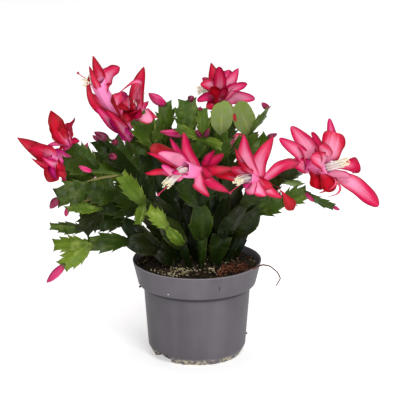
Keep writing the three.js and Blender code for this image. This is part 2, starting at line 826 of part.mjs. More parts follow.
stems.forEach((stem, i) => {
  lay(`leafy_stem_${numbered(i)}`, (grow) => stemSolid(stem, grow), MATERIALS.pads);
});
blooms.forEach((bloom, i) => {
  if (!bloom.brush) return;
  lay(`bloom_${numbered(i)}_stamens`, (grow) => stamensSolid(bloom, grow), MATERIALS.stamens);
});
blooms.forEach((bloom, i) => {
  lay(`bloom_${numbered(i)}_petals`, (grow) => petalsSolid(bloom, grow), MATERIALS.petals);
});

export default cactus;
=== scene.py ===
# %% [markdown]
# # A potted christmas cactus
# The plant is a bush of arching stems in a grey nursery pot. Each stem is a chain of flat green pads
# with forward teeth, and blooms of layered, curled petals hang from the last pads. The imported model
# gives the places and the sizes, and this script gives every piece its living surface.

import bpy
import numpy as np
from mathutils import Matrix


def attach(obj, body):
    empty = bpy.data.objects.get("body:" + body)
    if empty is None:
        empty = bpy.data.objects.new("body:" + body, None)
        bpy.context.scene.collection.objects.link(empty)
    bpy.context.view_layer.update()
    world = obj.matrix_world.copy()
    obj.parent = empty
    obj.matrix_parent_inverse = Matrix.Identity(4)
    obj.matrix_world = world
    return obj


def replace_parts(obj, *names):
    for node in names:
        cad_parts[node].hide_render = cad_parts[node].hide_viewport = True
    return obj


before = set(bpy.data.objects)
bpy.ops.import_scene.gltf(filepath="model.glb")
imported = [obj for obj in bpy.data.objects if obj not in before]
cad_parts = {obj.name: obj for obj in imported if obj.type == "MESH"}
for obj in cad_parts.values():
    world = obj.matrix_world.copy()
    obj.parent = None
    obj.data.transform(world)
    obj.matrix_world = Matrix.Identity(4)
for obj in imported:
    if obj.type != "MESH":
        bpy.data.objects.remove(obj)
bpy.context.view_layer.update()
print("pieces in the frame:", len(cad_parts))

# %% [markdown]
# ## Camera
# A long lens from far away keeps the pot's sides nearly parallel, as in a catalogue picture. The
# camera looks down on the plant a little, and at a point in the leaves' lower part.

# %% Place the camera
def into_scene(name, data):
    """A new object that holds the data, linked into the scene."""
    made = bpy.data.objects.new(name, data)
    bpy.context.scene.collection.objects.link(made)
    return made


MM = 0.001
AIM = np.array([2.8, 15.9, 142.7]) * MM
CAMERA_DISTANCE = 2.5
CAMERA_ELEVATION = np.radians(17)
FOCAL_LENGTH = 242.7

camera = into_scene("camera", bpy.data.cameras.new("camera"))
camera.data.lens = FOCAL_LENGTH
camera.data.sensor_width = 36
towards_camera = np.array([0, -np.cos(CAMERA_ELEVATION), np.sin(CAMERA_ELEVATION)])
camera.location = AIM + CAMERA_DISTANCE * towards_camera
camera.rotation_euler = (np.pi / 2 - CAMERA_ELEVATION, 0, 0)
bpy.context.scene.camera = camera
print("camera at", [round(v, 3) for v in camera.location])

# %% [markdown]
# ## Small tools for shapes
# Nearly every piece of a plant is a long closed skin: rings of points that follow a bent line. One
# class gathers such skins for a mesh, with a few values at each point that the materials read.

# %% Vectors and smooth steps
draw = np.random.default_rng(7)


def unit(vectors):
    """Vectors divided by their own lengths."""
    vectors = np.asarray(vectors, float)
    return vectors / np.linalg.norm(vectors, axis=-1, keepdims=True)


def step(low, high, x):
    """0 below low, 1 above high, and the S-curve t*t*(3-2t) between them."""
    t = np.clip((x - low) / (high - low), 0, 1)
    return t * t * (3 - 2 * t)


def through(x, places, heights):
    """A curve through given heights, with an S-curve from each place to the next."""
    x = np.asarray(x, float)
    found = np.clip(np.searchsorted(places, x, side="right") - 1, 0, len(places) - 2)
    places, heights = np.asarray(places, float), np.asarray(heights, float)
    t = np.clip((x - places[found]) / (places[found + 1] - places[found]), 0, 1)
    return heights[found] + (heights[found + 1] - heights[found]) * t * t * (3 - 2 * t)


def bent_line(start, bend, end, u):
    """Points and directions of a quadratic Bezier: start*(1-u)^2 + 2*bend*u*(1-u) + end*u^2."""
    u = np.asarray(u, float)[:, None]
    places = start * (1 - u) ** 2 + 2 * bend * u * (1 - u) + end * u**2
    ways = unit((bend - start) * (1 - u) + (end - bend) * u)
    return places, ways


def straight(centre, way, stations):
    """Points and directions of a straight line, at given distances from its centre."""
    return centre + way * stations[:, None], np.repeat(way[None], len(stations), 0)


def around(count):
    """Even angles round a ring of so many points."""
    return 2 * np.pi * np.arange(count) / count


print("halfway up a smooth step:", step(0, 1, 0.5))

# %% Gather closed skins into a mesh
class Skins:
    """Closed skins for one mesh. A skin is a grid of rings, and one face closes each end."""

    def __init__(self):
        self.points, self.faces, self.total = [], [], 0
        self.values = {"across": [], "along": [], "tone": [], "kind": [], "hue": []}

    def add(self, grid, across=0.0, along=0.0, tone=0.0, kind=0.0, hue=0.0):
        """Joins ring i to ring i+1, point by point, and keeps the five values of every point."""
        rows, columns = grid.shape[:2]
        ring = np.arange(columns)
        starts = self.total + columns * np.arange(rows - 1)[:, None]
        near, far = starts + ring, starts + np.roll(ring, -1)
        self.faces += np.stack([near, far, far + columns, near + columns], -1).reshape(-1, 4).tolist()
        self.faces.append((self.total + ring[::-1]).tolist())
        self.faces.append((self.total + columns * (rows - 1) + ring).tolist())
        self.points.append(grid.reshape(-1, 3))
        given = {"across": across, "along": along, "tone": tone, "kind": kind, "hue": hue}
        for name, value in given.items():
            self.values[name].append(np.broadcast_to(value, (rows, columns)).ravel())
        self.total += rows * columns

    def piece(self, name, material, slot):
        """Makes the mesh, with its points turned from millimetres into metres."""
        mesh = bpy.data.meshes.new(name)
        mesh.from_pydata((np.concatenate(self.points) * MM).tolist(), [], self.faces)
        for value_name, parts in self.values.items():
            layer = mesh.attributes.new(value_name, "FLOAT", "POINT")
            layer.data.foreach_set("value", np.concatenate(parts).astype(np.float32))
        mesh.shade_smooth()
        mesh.materials.append(material)
        made = into_scene(name, mesh)
        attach(made, "root")
        print(f"{name}: {len(mesh.polygons)} faces")
        return made


def round_skin(places, ways, radii, sides):
    """Rings round a line. Each ring's point is the place plus radius*(side*cos a + lift*sin a). The
    radii are one for each ring, or one for each point of each ring."""
    reference = np.array([1.0, 0, 0]) if abs(ways[0][2]) > 0.9 else np.array([0, 0, 1.0])
    side = unit(np.cross(reference, ways))
    lift = np.cross(ways, side)
    angle = around(sides)
    if np.ndim(radii) < 2:
        radii = np.tile(radii, (sides, 1)).T
    spread = side[:, None] * np.cos(angle)[None, :, None] + lift[:, None] * np.sin(angle)[None, :, None]
    return places[:, None] + spread * radii[..., None]


def flat_skin(places, ways, side, twist, aside, height):
    """Rings of a flat strip. A point is the line's place, plus its distance aside along the side
    direction, plus its height along the lift direction, both turned about the line by the twist."""
    flat = side * np.cos(twist) + np.cross(ways, side) * np.sin(twist)
    lift = np.cross(ways, flat)
    return places[:, None] + flat[:, None] * aside[..., None] + lift[:, None] * height[..., None]


# %% [markdown]
# ## Small tools for materials
# A material is written as arithmetic: a mask is made of sums and products of what the surface
# carries, and colours are mixed by masks. One class wraps a socket, and Python's operators add the
# Math nodes.

# %% Wrap a socket
class Wire:
    """An output socket in a material. Operators on it add Math nodes."""

    def __init__(self, tree, socket=None):
        self.tree, self.socket = tree, socket

    def node(self, kind, settings=None, inputs=None, output=0):
        """Adds a node: its settings are set first, then its inputs get their values or links."""
        made = self.tree.nodes.new(kind)
        for name, value in (settings or {}).items():
            setattr(made, name, value)
        for key, value in (inputs or {}).items():
            if isinstance(value, Wire):
                self.tree.links.new(value.socket, made.inputs[key])
            else:
                made.inputs[key].default_value = value
        return Wire(self.tree, made.outputs[output])

    def math(self, operation, first, second=0.0):
        return self.node("ShaderNodeMath", {"operation": operation}, {0: first, 1: second})

    def __add__(self, other):
        return self.math("ADD", self, other)

    def __sub__(self, other):
        return self.math("SUBTRACT", self, other)

    def __rsub__(self, other):
        return self.math("SUBTRACT", other, self)

    def __mul__(self, other):
        return self.math("MULTIPLY", self, other)

    def __pow__(self, other):
        return self.math("POWER", self, other)

    __radd__ = __add__
    __rmul__ = __mul__

    def size(self):
        return self.math("ABSOLUTE", self)

    def step(self, low, high):
        """The same S-curve as step() above, from 0 at low to 1 at high."""
        settings = {"interpolation_type": "SMOOTHSTEP"}
        return self.node("ShaderNodeMapRange", settings, {"Value": self, "From Min": low, "From Max": high})

    def fade(self, low, high):
        """The S-curve the other way round, from 1 at low to 0 at high."""
        return 1 - self.step(low, high)

    def near(self, value, core, edge):
        """1 where this is within core of the value, and 0 where it is farther off than edge."""
        return (self - value).size().fade(core, edge)

    def mix(self, first, second):
        """The first colour where this mask is 0, and the second where it is 1."""
        return self.node("ShaderNodeMix", {"data_type": "RGBA"}, {0: self, 6: first, 7: second}, 2)

    def attribute(self, name):
        return self.node("ShaderNodeAttribute", {"attribute_name": name}, output="Fac")

    def position(self):
        return self.node("ShaderNodeTexCoord", output="Object")

    def part(self, axis):
        """One coordinate of a vector: X, Y or Z."""
        return self.node("ShaderNodeSeparateXYZ", inputs={0: self}, output=axis)

    def point(self, x, y, z):
        return self.node("ShaderNodeCombineXYZ", inputs={0: x, 1: y, 2: z})

    def noise(self, where, scale, detail, roughness=0.5):
        inputs = {"Vector": where, "Scale": scale, "Detail": detail, "Roughness": roughness}
        return self.node("ShaderNodeTexNoise", {}, inputs)

    def cells(self, where, scale):
        """Distance to the nearest of many scattered points."""
        return self.node("ShaderNodeTexVoronoi", {}, {"Vector": where, "Scale": scale})

    def stretched(self, where, scale):
        """A vector whose three coordinates are each scaled."""
        return self.node("ShaderNodeVectorMath", {"operation": "MULTIPLY"}, {0: where, 1: scale})

    def bump(self, height, depth, strength):
        inputs = {"Height": height, "Distance": depth, "Strength": strength}
        return self.node("ShaderNodeBump", {}, inputs)


def dye(text):
    """A colour from its six hex digits, turned from screen values into linear light."""
    screen = np.array([int(text[i : i + 2], 16) for i in (0, 2, 4)]) / 255
    linear = np.where(screen <= 0.04045, screen / 12.92, ((screen + 0.055) / 1.055) ** 2.4)
    return (*linear.tolist(), 1.0)


def finish(name, paint, **constants):
    """A material: paint(wire) gives its varying sockets, and the constants go on the shader itself."""
    material = bpy.data.materials.new(name)
    material.use_nodes = True
    tree = material.node_tree
    shader = tree.nodes["Principled BSDF"]
    for socket, value in constants.items():
        shader.inputs[socket.replace("_", " ")].default_value = value
    for socket, wire in paint(Wire(tree)).items():
        tree.links.new(wire.socket, shader.inputs[socket.replace("_", " ")])
    print("painted:", name)
    return material


# %% [markdown]
# ## Pad skin
# A pad is a flattened piece of stem. Young ones are bright, with pale patches that are partly waxy
# bloom and partly painted highlight. Old ones are dark and dull, with a thick rib. Pads low in the bush
# are darkened with painted shade, and each pad darkens towards its neck, from its older tissue there
# and from painted shade where it grows out of the last one. The light comes through a thin pad a
# little, so its edge is yellower than its middle. The two smooth pads are the palest, dusty, with a
# light rib, and a withered strand is brown.

# %% Paint the pads
def paint_pads(w):
    signed, along = w.attribute("across"), w.attribute("along")
    across, tone, where = signed.size(), w.attribute("tone"), w.position()
    mottle = w.noise(where, 70.0, 3.0)
    fine = w.noise(where, 700.0, 2.0)
    swell = w.noise(where, 110.0, 1.0)
    grooves = w.noise(w.point(signed * 2.2, along * 0.8, tone * 60.0), 1.0, 3.0)
    uneven = (mottle - 0.5) * 0.45 + (grooves - 0.5) * 0.55 + (fine - 0.5) * 0.1
    shade = tone + uneven * (0.35 + tone * 0.6)
    green = shade.step(0.0, 0.55).mix(dye("0E1806"), dye("37500F"))
    olive = w.noise(where, 16.0, 2.0).step(0.48, 0.68) * tone.fade(0.2, 0.5) * 0.4
    bright = shade.step(0.4, 1.05).mix(olive.mix(green, dye("3A361C")), dye("748C2C"))
    # Painted shade: low, older pads are darkened towards the bottom, where the bush above shades them.
    low = where.part("Z").fade(0.1, 0.165) * tone.fade(0.4, 0.6) * 0.4
    low_shade_painted = low.mix(bright, dye("0C1406"))
    smooth = (tone - 0.9).step(0.0, 0.06)
    blotch = w.noise(where, 190.0, 4.0, 0.65).step(0.3, 0.7)
    dusty = (smooth * (0.25 + blotch * 0.75) * (1 - along.step(0.6, 1.2) * 0.5)).mix(low_shade_painted, dye("7C885A"))
    rib = (across + (fine - 0.5) * 0.08).fade(0.0, 0.09) * along.fade(0.3, 0.9) * smooth * 0.5
    ribbed = rib.mix(dusty, dye("B5B266"))
    edge = (across.step(0.84, 1.0) * tone * 0.5).mix(ribbed, dye("848F34"))
    woody = tone.fade(0.08, 0.2) * along.fade(0.0, 0.3) * mottle.step(0.45, 0.65) * 0.4
    barked = woody.mix(edge, dye("3A341C"))
    # Darker towards the neck: older tissue at the joint, plus painted shade where it leaves the last pad.
    neck_dark_and_shaded = (along.fade(0.0, 0.4) * 0.5).mix(barked, dye("121A06"))
    # Pale patches on the swells and grooves of young pads: partly waxy bloom, partly painted highlight.
    wax_and_sheen = (swell * 0.6 + grooves * 0.6 - 0.6).step(0.0, 0.22) * tone.step(0.1, 0.9) * (1 - smooth) * 0.5
    with_wax_and_sheen = wax_and_sheen.mix(neck_dark_and_shaded, dye("A2AE5E"))
    withered = (w.attribute("kind") * (0.6 + mottle * 0.5)).mix(with_wax_and_sheen, dye("786A44"))
    specks = w.cells(where, 300.0).fade(0.04, 0.11) * fine.step(0.5, 0.6) * 0.55
    return {
        "Base_Color": specks.mix(withered, dye("A4AA86")),
        "Roughness": 0.26 + mottle * 0.2,
        "Normal": w.bump(swell * 1.5 + grooves * 0.9 + mottle * 0.5 + fine * 0.1, 0.0013, 0.7),
    }


pad_finish = finish("pad_skin", paint_pads, Specular_IOR_Level=0.12)

# %% [markdown]
# ## The stems' places
# A stem is where it leaves the soil, then its pads: the pad it grows from (-1 for the soil), the
# place of its tip, its roll from facing front in degrees, its half-width, its tone, from 0 for an
# old dark pad to 1 for a young pale one, and, where it isn't drawn by chance, its number of teeth a
# side, which is 0 for the two smooth pads in front. A very narrow pad is a withered strand. A bud is
# its pad, the place of its tip, its radius and its tone. The places are the solids' own, in
# millimetres, and a few pads and buds more close the bush.

# %% List the near stems
STEMS = [
    ((-22, -6), [
        (-1, -37, -10, 105, 20, 8, 0.1), (0, -64, -20, 114, 10, 11.5, 0.14),
        (1, -98, -34, 116, 15, 9, 0.36), (2, -122, -42, 98, 10, 8.5, 0.82),
        (2, -130, -30, 114, 20, 8, 0.74), (0, -68, -8, 130, -20, 10.5, 0.15),
        (5, -106, -24, 138, 10, 10, 0.15), (5, -100, -12, 123, 70, 4.5, 0.7),
        (7, -134, -12, 126, 40, 7, 0.5),
        (5, -95, -4, 130, -10, 10, 0.1),
    ], [(3, -137, -46, 83, 3.8, 0.68)]),
    ((-18, 8), [
        (-1, -28, 4, 113, -15, 10, 0.1), (0, -49, -6, 140, 10, 10.5, 0.1),
        (1, -74, -14, 158, 15, 10.5, 0.15), (2, -98, -20, 165, 10, 13.5, 0.2),
        (3, -126, -26, 158, 0, 12.5, 0.34), (1, -87, -22, 147, 25, 10.5, 0.15),
        (5, -118, -36, 150, 35, 6, 0.6), (1, -52, 4, 171, 25, 10, 0.1),
        (7, -76, 2, 203, 0, 10, 0.2), (7, -80, -10, 194, 35, 9, 0.15),
        (5, -110, -12, 148, -10, 10, 0.15), (5, -104, -26, 126, 10, 10, 0.12),
        (2, -118, -24, 148, 60, 1.4, 0.7, 3),
    ], [(4, -134, -28, 148, 3.8, 0.3), (8, -94, 2, 212, 3.9, 0.1), (9, -73, -17, 193, 3.3, 0.2),
        (6, -119, -40, 144, 2.2, 0.5), (8, -74, -4, 204, 3, 0.12)]),
    ((-10, 18), [
        (-1, -20, 16, 116, 30, 9, 0.1), (0, -42, 12, 147, 0, 10, 0.1),
        (1, -67, 4, 168, 10, 10, 0.2), (2, -92, -4, 179, 25, 9, 0.5),
        (3, -115, 0, 198, 0, 10, 0.34), (3, -121, -17, 188, 20, 9, 0.26),
        (2, -90, 12, 201, 10, 10.5, 0.3), (0, -35, 26, 149, 40, 10, 0.1),
        (7, -47, 32, 183, -20, 10, 0.15), (8, -60, 36, 195, 30, 7, 0.35),
        (3, -120, 2, 168, 10, 12.5, 0.4), (1, -58, 14, 178, 10, 10.5, 0.15),
    ], [(6, -96, 11, 206.5, 2, 0.3)]),
    ((-7, -13), [
        (-1, -14, -26, 113, 10, 4.5, 0.1), (0, -32, -30, 138, 20, 11, 0.16),
        (1, -48, -42, 157, -15, 9, 0.2), (2, -68, -46, 185, 15, 8, 0.66),
        (3, -95, -50, 190, 60, 2.6, 0.42), (2, -53, -55, 142, 20, 5, 0.6),
        (0, -27, -46, 136, -10, 5.8, 0.66, 3), (6, -43, -58, 156, 15, 7, 0.82, 4),
        (3, -99, -52, 181, 50, 0.8, 0.8, 3),
    ], [(4, -106, -54, 196, 2.4, 0.9)]),
    ((4, -9), [
        (-1, 5, -17, 117, -10, 4.8, 0.26), (0, 1, -30, 152, 10, 12.5, 0.26),
        (1, 14, -43, 185, 0, 9, 0.15), (1, -14, -42, 178, 25, 10, 0.2),
    ], []),
    ((16, -4), [
        (-1, 23, -9, 116, 0, 9.5, 0.24), (0, 42, -14, 146, 30, 10.5, 0.16),
        (1, 63, -24, 171, 10, 9, 0.15), (0, 27, -2, 150, -35, 10, 0.1),
        (3, 34, 4, 182, 30, 9.5, 0.15),
    ], []),
    ((28, 2), [
        (-1, 38, 0, 114, -30, 5.5, 0.1), (0, 56, -4, 138, 20, 10.5, 0.16),
        (1, 78, -7, 150, 0, 10, 0.35), (2, 100, -10, 158, 10, 9, 0.5),
        (3, 125, -12, 145, 50, 5.5, 0.4),
    ], [(3, 107, -14, 150, 2.4, 0.6), (4, 131, -13, 142, 1.8, 0.5)]),
    ((32, 14), [
        (-1, 42, 18, 116, 35, 9, 0.1), (0, 57, 20, 145, 10, 10, 0.15),
        (1, 76, 14, 165, -20, 9, 0.15), (2, 91, 4, 179, 30, 8, 0.2),
        (2, 98, 22, 168, 65, 8, 0.25),
    ], []),
    ((19, 14), [
        (-1, 28, 20, 118, -35, 9, 0.1), (0, 38, 30, 149, 25, 10, 0.1),
        (1, 45, 36, 177, -20, 10, 0.15), (2, 49, 42, 199, 15, 10, 0.45),
        (3, 66, 46, 223, 70, 8, 0.55), (3, 37, 34, 231, 10, 10.5, 0.97, 0),
        (2, 65, 48, 194, 25, 9, 0.4),
    ], [(4, 60, 42, 229, 2.8, 0.4), (6, 75, 50, 197, 2.6, 0.3)]),
    ((9, 24), [
        (-1, 10, 28, 119, 30, 9, 0.1), (0, 14, 34, 150, -20, 10, 0.1),
        (1, 17, 44, 180, 25, 10, 0.15), (2, 20, 58, 214, 0, 10, 0.3),
        (1, 23, 14, 180, -15, 10, 0.2), (4, 22, 5, 210, -10, 9, 0.4),
        (5, 23, 2, 241, 0, 9.8, 1.0, 0), (2, 33, 36, 216, 10, 9.5, 0.3),
    ], []),
    ((1, 7), [
        (-1, -4, 9, 119, -30, 9, 0.1), (0, -6, 12, 150, 20, 10, 0.1),
        (1, -7, 16, 179, -25, 10, 0.15), (2, -9, 18, 206, 0, 10, 0.35),
        (3, -9, 22, 236, 5, 10.5, 0.5), (2, 6, 8, 203, 30, 9, 0.4),
        (5, 5, 12, 231, 10, 6.5, 0.66),
        (1, 7, 18, 178, 20, 10.5, 0.12), (7, 8, 16, 202, 0, 10, 0.2),
        (5, -18, 3, 216, 30, 6, 0.6), (5, 22, 0, 199, 30, 5.5, 0.62), (3, -18, 24, 228, 55, 6, 0.45),
    ], [(4, -3, 20, 241, 3.2, 0.1), (3, -34, 8, 211, 3.4, 0.9), (5, -1, 3, 214, 2.4, 0.1),
        (5, 11, 3, 215, 2.5, 0.1), (6, 1, 8, 233, 1.6, 0.3)]),
    ((-4, 30), [
        (-1, -14, 32, 117, 35, 9, 0.1), (0, -24, 38, 146, -25, 10, 0.1),
        (1, -31, 44, 174, 20, 10, 0.2), (2, -28, 50, 200, 0, 10, 0.4),
        (3, -30, 52, 225, 15, 9, 0.55), (2, -50, 50, 204, 25, 10, 0.35),
        (2, -38, 34, 189, 15, 8, 0.4), (6, -55, 26, 220, 5, 11.5, 0.5),
        (6, -37, 28, 216, 45, 7, 0.6), (2, -14, 40, 196, 10, 10, 0.2),
    ], [(4, -45, 50, 236, 4.6, 0.85)]),
]
FACES_FRONT = np.array([0, -1, 0.3])
SOIL_TOP = 85.4
PAD_START = SOIL_TOP + 1.8
print("near stems:", len(STEMS), "with", sum(len(pads) for _, pads, _ in STEMS), "pads")

# %% [markdown]
# The far side repeats one branching pattern, turned to four azimuths about the pot's axis, because
# the picture doesn't show it. A place there is told as distance from the axis, place to the side, and
# height.

# %% Work out the far stems
FAR_ROOT = 39
FAR_PADS = [
    (-1, 49, 4, 113, 10, 8, 0.12), (0, 70, 10, 138, -15, 9, 0.2), (1, 97, 13, 153, 20, 9.5, 0.4),
    (2, 122, 17, 147, 10, 9, 0.6), (1, 83, -10, 165, 15, 9, 0.35), (4, 105, -24, 174, -10, 9, 0.55),
    (0, 62, -15, 148, 30, 9, 0.45),
]
FAR_BUDS = [(6, 66, -20, 160, 3, 0.8), (5, 112, -29, 177, 2.4, 0.3)]
FAR_TURNS = [(36, 0.8, 1.0, -1), (74, 1.0, 1.06, 1), (112, 1.0, 1.0, -1), (150, 0.95, 1.04, -1)]


def far_stem(azimuth, reach, lift, mirror):
    """The pattern scaled outward by reach and upward by lift, mirrored or not, and turned."""
    cos, sin = np.cos(np.radians(azimuth)), np.sin(np.radians(azimuth))

    def place(out, aside, z):
        out = FAR_ROOT + (out - FAR_ROOT) * reach
        aside = aside * mirror
        return (out * cos - aside * sin, out * sin + aside * cos, SOIL_TOP + (z - SOIL_TOP) * lift)

    pads = [(parent, *place(*tip), roll * mirror, half_width, tone)
            for parent, *tip, roll, half_width, tone in FAR_PADS]
    buds = [(parent, *place(*tip), radius, tone) for parent, *tip, radius, tone in FAR_BUDS]
    return (FAR_ROOT * cos, FAR_ROOT * sin), pads, buds, np.array([cos, sin, FACES_FRONT[2]])


stems = [(*stem, FACES_FRONT) for stem in STEMS] + [far_stem(*turn) for turn in FAR_TURNS]
print("stems in all:", len(stems))

# %% [markdown]
# ## Pads
# On the real plant a pad narrows to a neck where it grows from the last one, widens, and has two or
# three pointed teeth a side that hook forward. Its tip is cut off blunt between two horns. A grid
# does all this: one parameter runs from neck to tip, the other round the flat section.

# %% Shape a pad
# How deep a pad sinks into the last one, and how much it bows, as a share of its length.
SINK, ARCH = 1.7, 0.07
PAD_THICKNESS, PAD_SIDES = 1.9, 28
# A pad of a smaller half-width is a withered strand.
WITHERED = 2
# A pad's neck as a share of its width, where it is full, and how much its end tapers, for each age.
PAD_OUTLINES = [(0.3, 0.56, 0.38), (0.55, 0.46, 0.5), (0.5, 0.9, 0.1)]


def tooth_rows(ends):
    """Places along a pad, and how far each has climbed its tooth: 0 in a notch, 1 at a point."""
    climb = np.concatenate([np.linspace(0, 0.8, 6), [0.88, 0.94, 1.0]])
    neck = np.linspace(0, ends[0], 6, endpoint=False)
    teeth = [low + (high - low) * (0.04 + 0.96 * climb) for low, high in zip(ends[:-1], ends[1:])]
    return np.concatenate([neck, *teeth]), np.concatenate([np.linspace(0.5, 1, 6), *[climb] * len(teeth)])


def pad_skin(skins, root, tip, roll, half_width, facing, tone, age, teeth):
    """Half-width = envelope*(1 - bite*(1 - climb^0.6)) + claw*climb^7, and hook*climb^4 pushes each
    point forward. Height over the middle line = thin ellipse + rib + a hollow across + a slow wave,
    all twisted. Age 0 is a young pad, 1 an old one, and 2 the first one of a stem, which is a wedge.
    A pad with 0 teeth has a smooth outline of its own, wide in the middle and round at the tip."""
    old = age > 0
    way = unit(tip - root)
    length = np.linalg.norm(tip - root)
    level = unit(facing - facing.dot(way) * way)
    face = level * np.cos(np.radians(roll)) + np.cross(way, level) * np.sin(np.radians(roll))
    side = np.cross(face, way)
    start = root - way * SINK * (age < 2)
    bend = (start + tip) / 2 + face * ARCH * length
    drawn = int(draw.integers(3, 5))
    count = teeth[0] if teeth else 2 if old else drawn
    smooth = count == 0
    count = max(count, 2)
    ends = np.linspace(draw.uniform(0.14, 0.24), 1, count + 1)
    ends[1:-1] += draw.uniform(-0.04, 0.04, count - 1)
    rows, climb = tooth_rows(ends)
    places, ways = bent_line(start, bend, tip, rows)
    twist = draw.uniform(-0.35, 0.35) * (rows - 0.5)[:, None]
    cos, sin = np.cos(around(PAD_SIDES))[None], np.sin(around(PAD_SIDES))[None]
    u, climb = rows[:, None], climb[:, None]
    neck, full, taper = PAD_OUTLINES[age]
    envelope = neck + (1 - neck) * np.sin(np.pi / 2 * np.clip(u / full, 0, 1))
    envelope = envelope * (1 - taper * step(0.62, 1.04, u))
    if age == 1:
        envelope = envelope * np.sqrt(1 - 0.5 * np.clip((u - 0.86) / 0.14, 0, 1) ** 2)
    if smooth:
        envelope = 0.14 + 0.86 * np.sin(np.pi / 2 * np.clip(u / 0.5, 0, 1))
        envelope = envelope * np.sqrt(1 - 0.98 * np.clip((u - 0.5) / 0.5, 0, 1) ** 4)
    notch = 0 if smooth else 0.12 if old else draw.uniform(0.2, 0.34)
    claw, hook = (0, 0) if smooth else (0.04, 0.08) if old else (0.17, 0.34)
    thickness, rib_height, rib_width = (1.5, 1.3, 0.3) if old else (1, 0.5, 0.16)
    past_neck = step(0.1, 0.3, u)
    bite = notch * (1 + 0.4 * draw.uniform(-1, 1) * np.sign(cos))
    claw = claw * half_width * climb**7 * past_neck
    broad = half_width * draw.uniform(1.0, 1.14) * (0.86 if age == 1 else 1)
    width = broad * envelope * (1 - bite * step(0, 0.25, u) * (1 - climb**0.6)) + claw
    hook = hook * half_width * climb**4 * np.abs(cos) ** 8 * past_neck
    skew = draw.uniform(-0.14, 0.14) * half_width * cos * past_neck
    thick = PAD_THICKNESS / 2 * thickness * (0.6 + 0.4 * step(0, 0.3, u)) * (1 - 0.4 * step(0.8, 1, u))
    rib = rib_height * np.exp(-((cos / rib_width) ** 2)) * (1 - step(0.6, 1, u)) * np.sign(sin)
    hollow = draw.uniform(-0.3, 0.3) * half_width * cos**2 * np.sin(np.pi * u)
    wave = 0.1 * half_width * cos * np.sin(2 * np.pi * (1.2 * u + draw.uniform()))
    height = thick * sin + rib + hollow + wave
    grid = flat_skin(places, ways, side, twist, width * cos, height)
    grid = grid + ways[:, None] * (hook + skew)[..., None]
    tone, withered = tone + draw.uniform(-0.05, 0.05), float(half_width < WITHERED)
    skins.add(grid, across=cos, along=u, tone=tone, kind=withered)


print("points round a pad:", PAD_SIDES)

# %% [markdown]
# ## Buds
# A bud is a closed spindle of petals wrapped round each other, so its skin has shallow turns that
# wind a little from its foot to its point. Small ones are round and dark, long ones pink.

# %% Shape a bud
BUD_SIDES = 15


def bud_skin(skins, root, tip, radius, tone):
    """Radius = sin(pi*(0.07 + 0.92*v^(0.8 + 0.3*tone)))^0.75, times (1 + 0.09*cos(5 turns that wind
    with u)). Here v runs from 0 at the end of the stalk, which only a dark bud has, to 1 at the tip."""
    u = np.linspace(0, 1, 20)
    start = root - 0.12 * (tip - root)
    sag = np.array([0, 0, -0.06 * np.linalg.norm(tip - root)])
    places, ways = bent_line(start, (start + tip) / 2 + sag, tip, u)
    stalk = 0.45 * max(0.0, 1 - 2.5 * tone)
    v = np.clip((u - stalk) / (1 - stalk), 0, 1)
    bulge = np.sin(np.pi * (0.07 + 0.92 * v ** (0.8 + 0.3 * tone))) ** 0.75
    spindle = radius * np.maximum(bulge, 0.3 * (v == 0))
    folds = np.cos(5 * around(BUD_SIDES)[None] + 4 * u[:, None])
    grid = round_skin(places, ways, spindle[:, None] * (1 + 0.09 * folds), BUD_SIDES)
    skins.add(grid, across=folds, along=v[:, None], tone=tone)


def paint_buds(w):
    across, along, tone = w.attribute("across"), w.attribute("along"), w.attribute("tone")
    grain = w.noise(w.position(), 400.0, 2.0)
    pink = tone.step(0.1, 0.9).mix(dye("5E0A2C"), dye("CE2068"))
    # Painted highlight: the crests of the folds are lighter, more so on pale buds.
    light = (across.step(-0.2, 1.0) * along.step(0.1, 0.5) * (0.1 + tone * 0.32)).mix(pink, dye("F27CB0"))
    tipped = (along.step(0.6, 1.0) * 0.6).mix(light, dye("8E0C34"))
    foot = along.fade(0.06, 0.24).mix(tipped, dye("40421A"))
    return {"Base_Color": foot, "Roughness": 0.32 + grain * 0.2, "Normal": w.bump(grain, 0.0004, 0.3)}


bud_finish = finish("bud_skin", paint_buds, Specular_IOR_Level=0.3)

# %% Grow the stems
def grow_stem(number, root_place, pads, buds, facing):
    """One mesh of pads and one of buds for a stem. Its first two generations of pads are old."""
    green, red = Skins(), Skins()
    foot = np.array([*root_place, SOIL_TOP - 11.0])
    collar = np.array([*root_place, SOIL_TOP + 6.0])
    places, ways = bent_line(foot, (foot + collar) / 2, collar, np.linspace(0, 1, 6))
    green.add(round_skin(places, ways, np.array([3, 3, 3, 3, 2.8, 2.0]), 16), along=0.0, tone=0.05)
    tips = [np.array(pad[1:4], float) for pad in pads]
    for (parent, _, _, _, roll, half_width, tone, *teeth), tip in zip(pads, tips):
        root = np.array([*root_place, PAD_START]) if parent < 0 else tips[parent]
        age = 2 if parent < 0 else int(parent == 0)
        pad_skin(green, root, tip, roll, half_width, facing, tone, age, teeth)
    name = f"leafy_stem_{number:02d}"
    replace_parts(green.piece(f"stem_{number:02d}_pads", pad_finish, "pads"), name)
    for parent, *tip, radius, tone in buds:
        bud_skin(red, tips[parent], np.array(tip, float), radius, tone)
    if buds:
        red.piece(f"stem_{number:02d}_buds", bud_finish, "petals")


for number, (root_place, pads, buds, facing) in enumerate(stems, 1):
    grow_stem(number, root_place, pads, buds, facing)

# %% [markdown]
# ## The blooms' places
# A bloom runs from its base on a pad to the mouth of its tube. A petal is its root's place along the
# tube, the place of its tip, its half-width, its tone, from 0 for a deep petal to 1 for one that is
# nearly white inside its margin, its point, from 0.2 for a round tip to 1 for a long sharp one, and
# its hue, from 0 for crimson to 1 for magenta. Some petals also have their rise, which is 0.6 where it
# isn't given and up to 8 for one on a long narrow stalk, and a petal that bows in its own way has,
# after that, the place its bend aims at. Last in a bloom come the places of its brush of stamens and
# of the style's knob. The two blooms at the far left show neither.

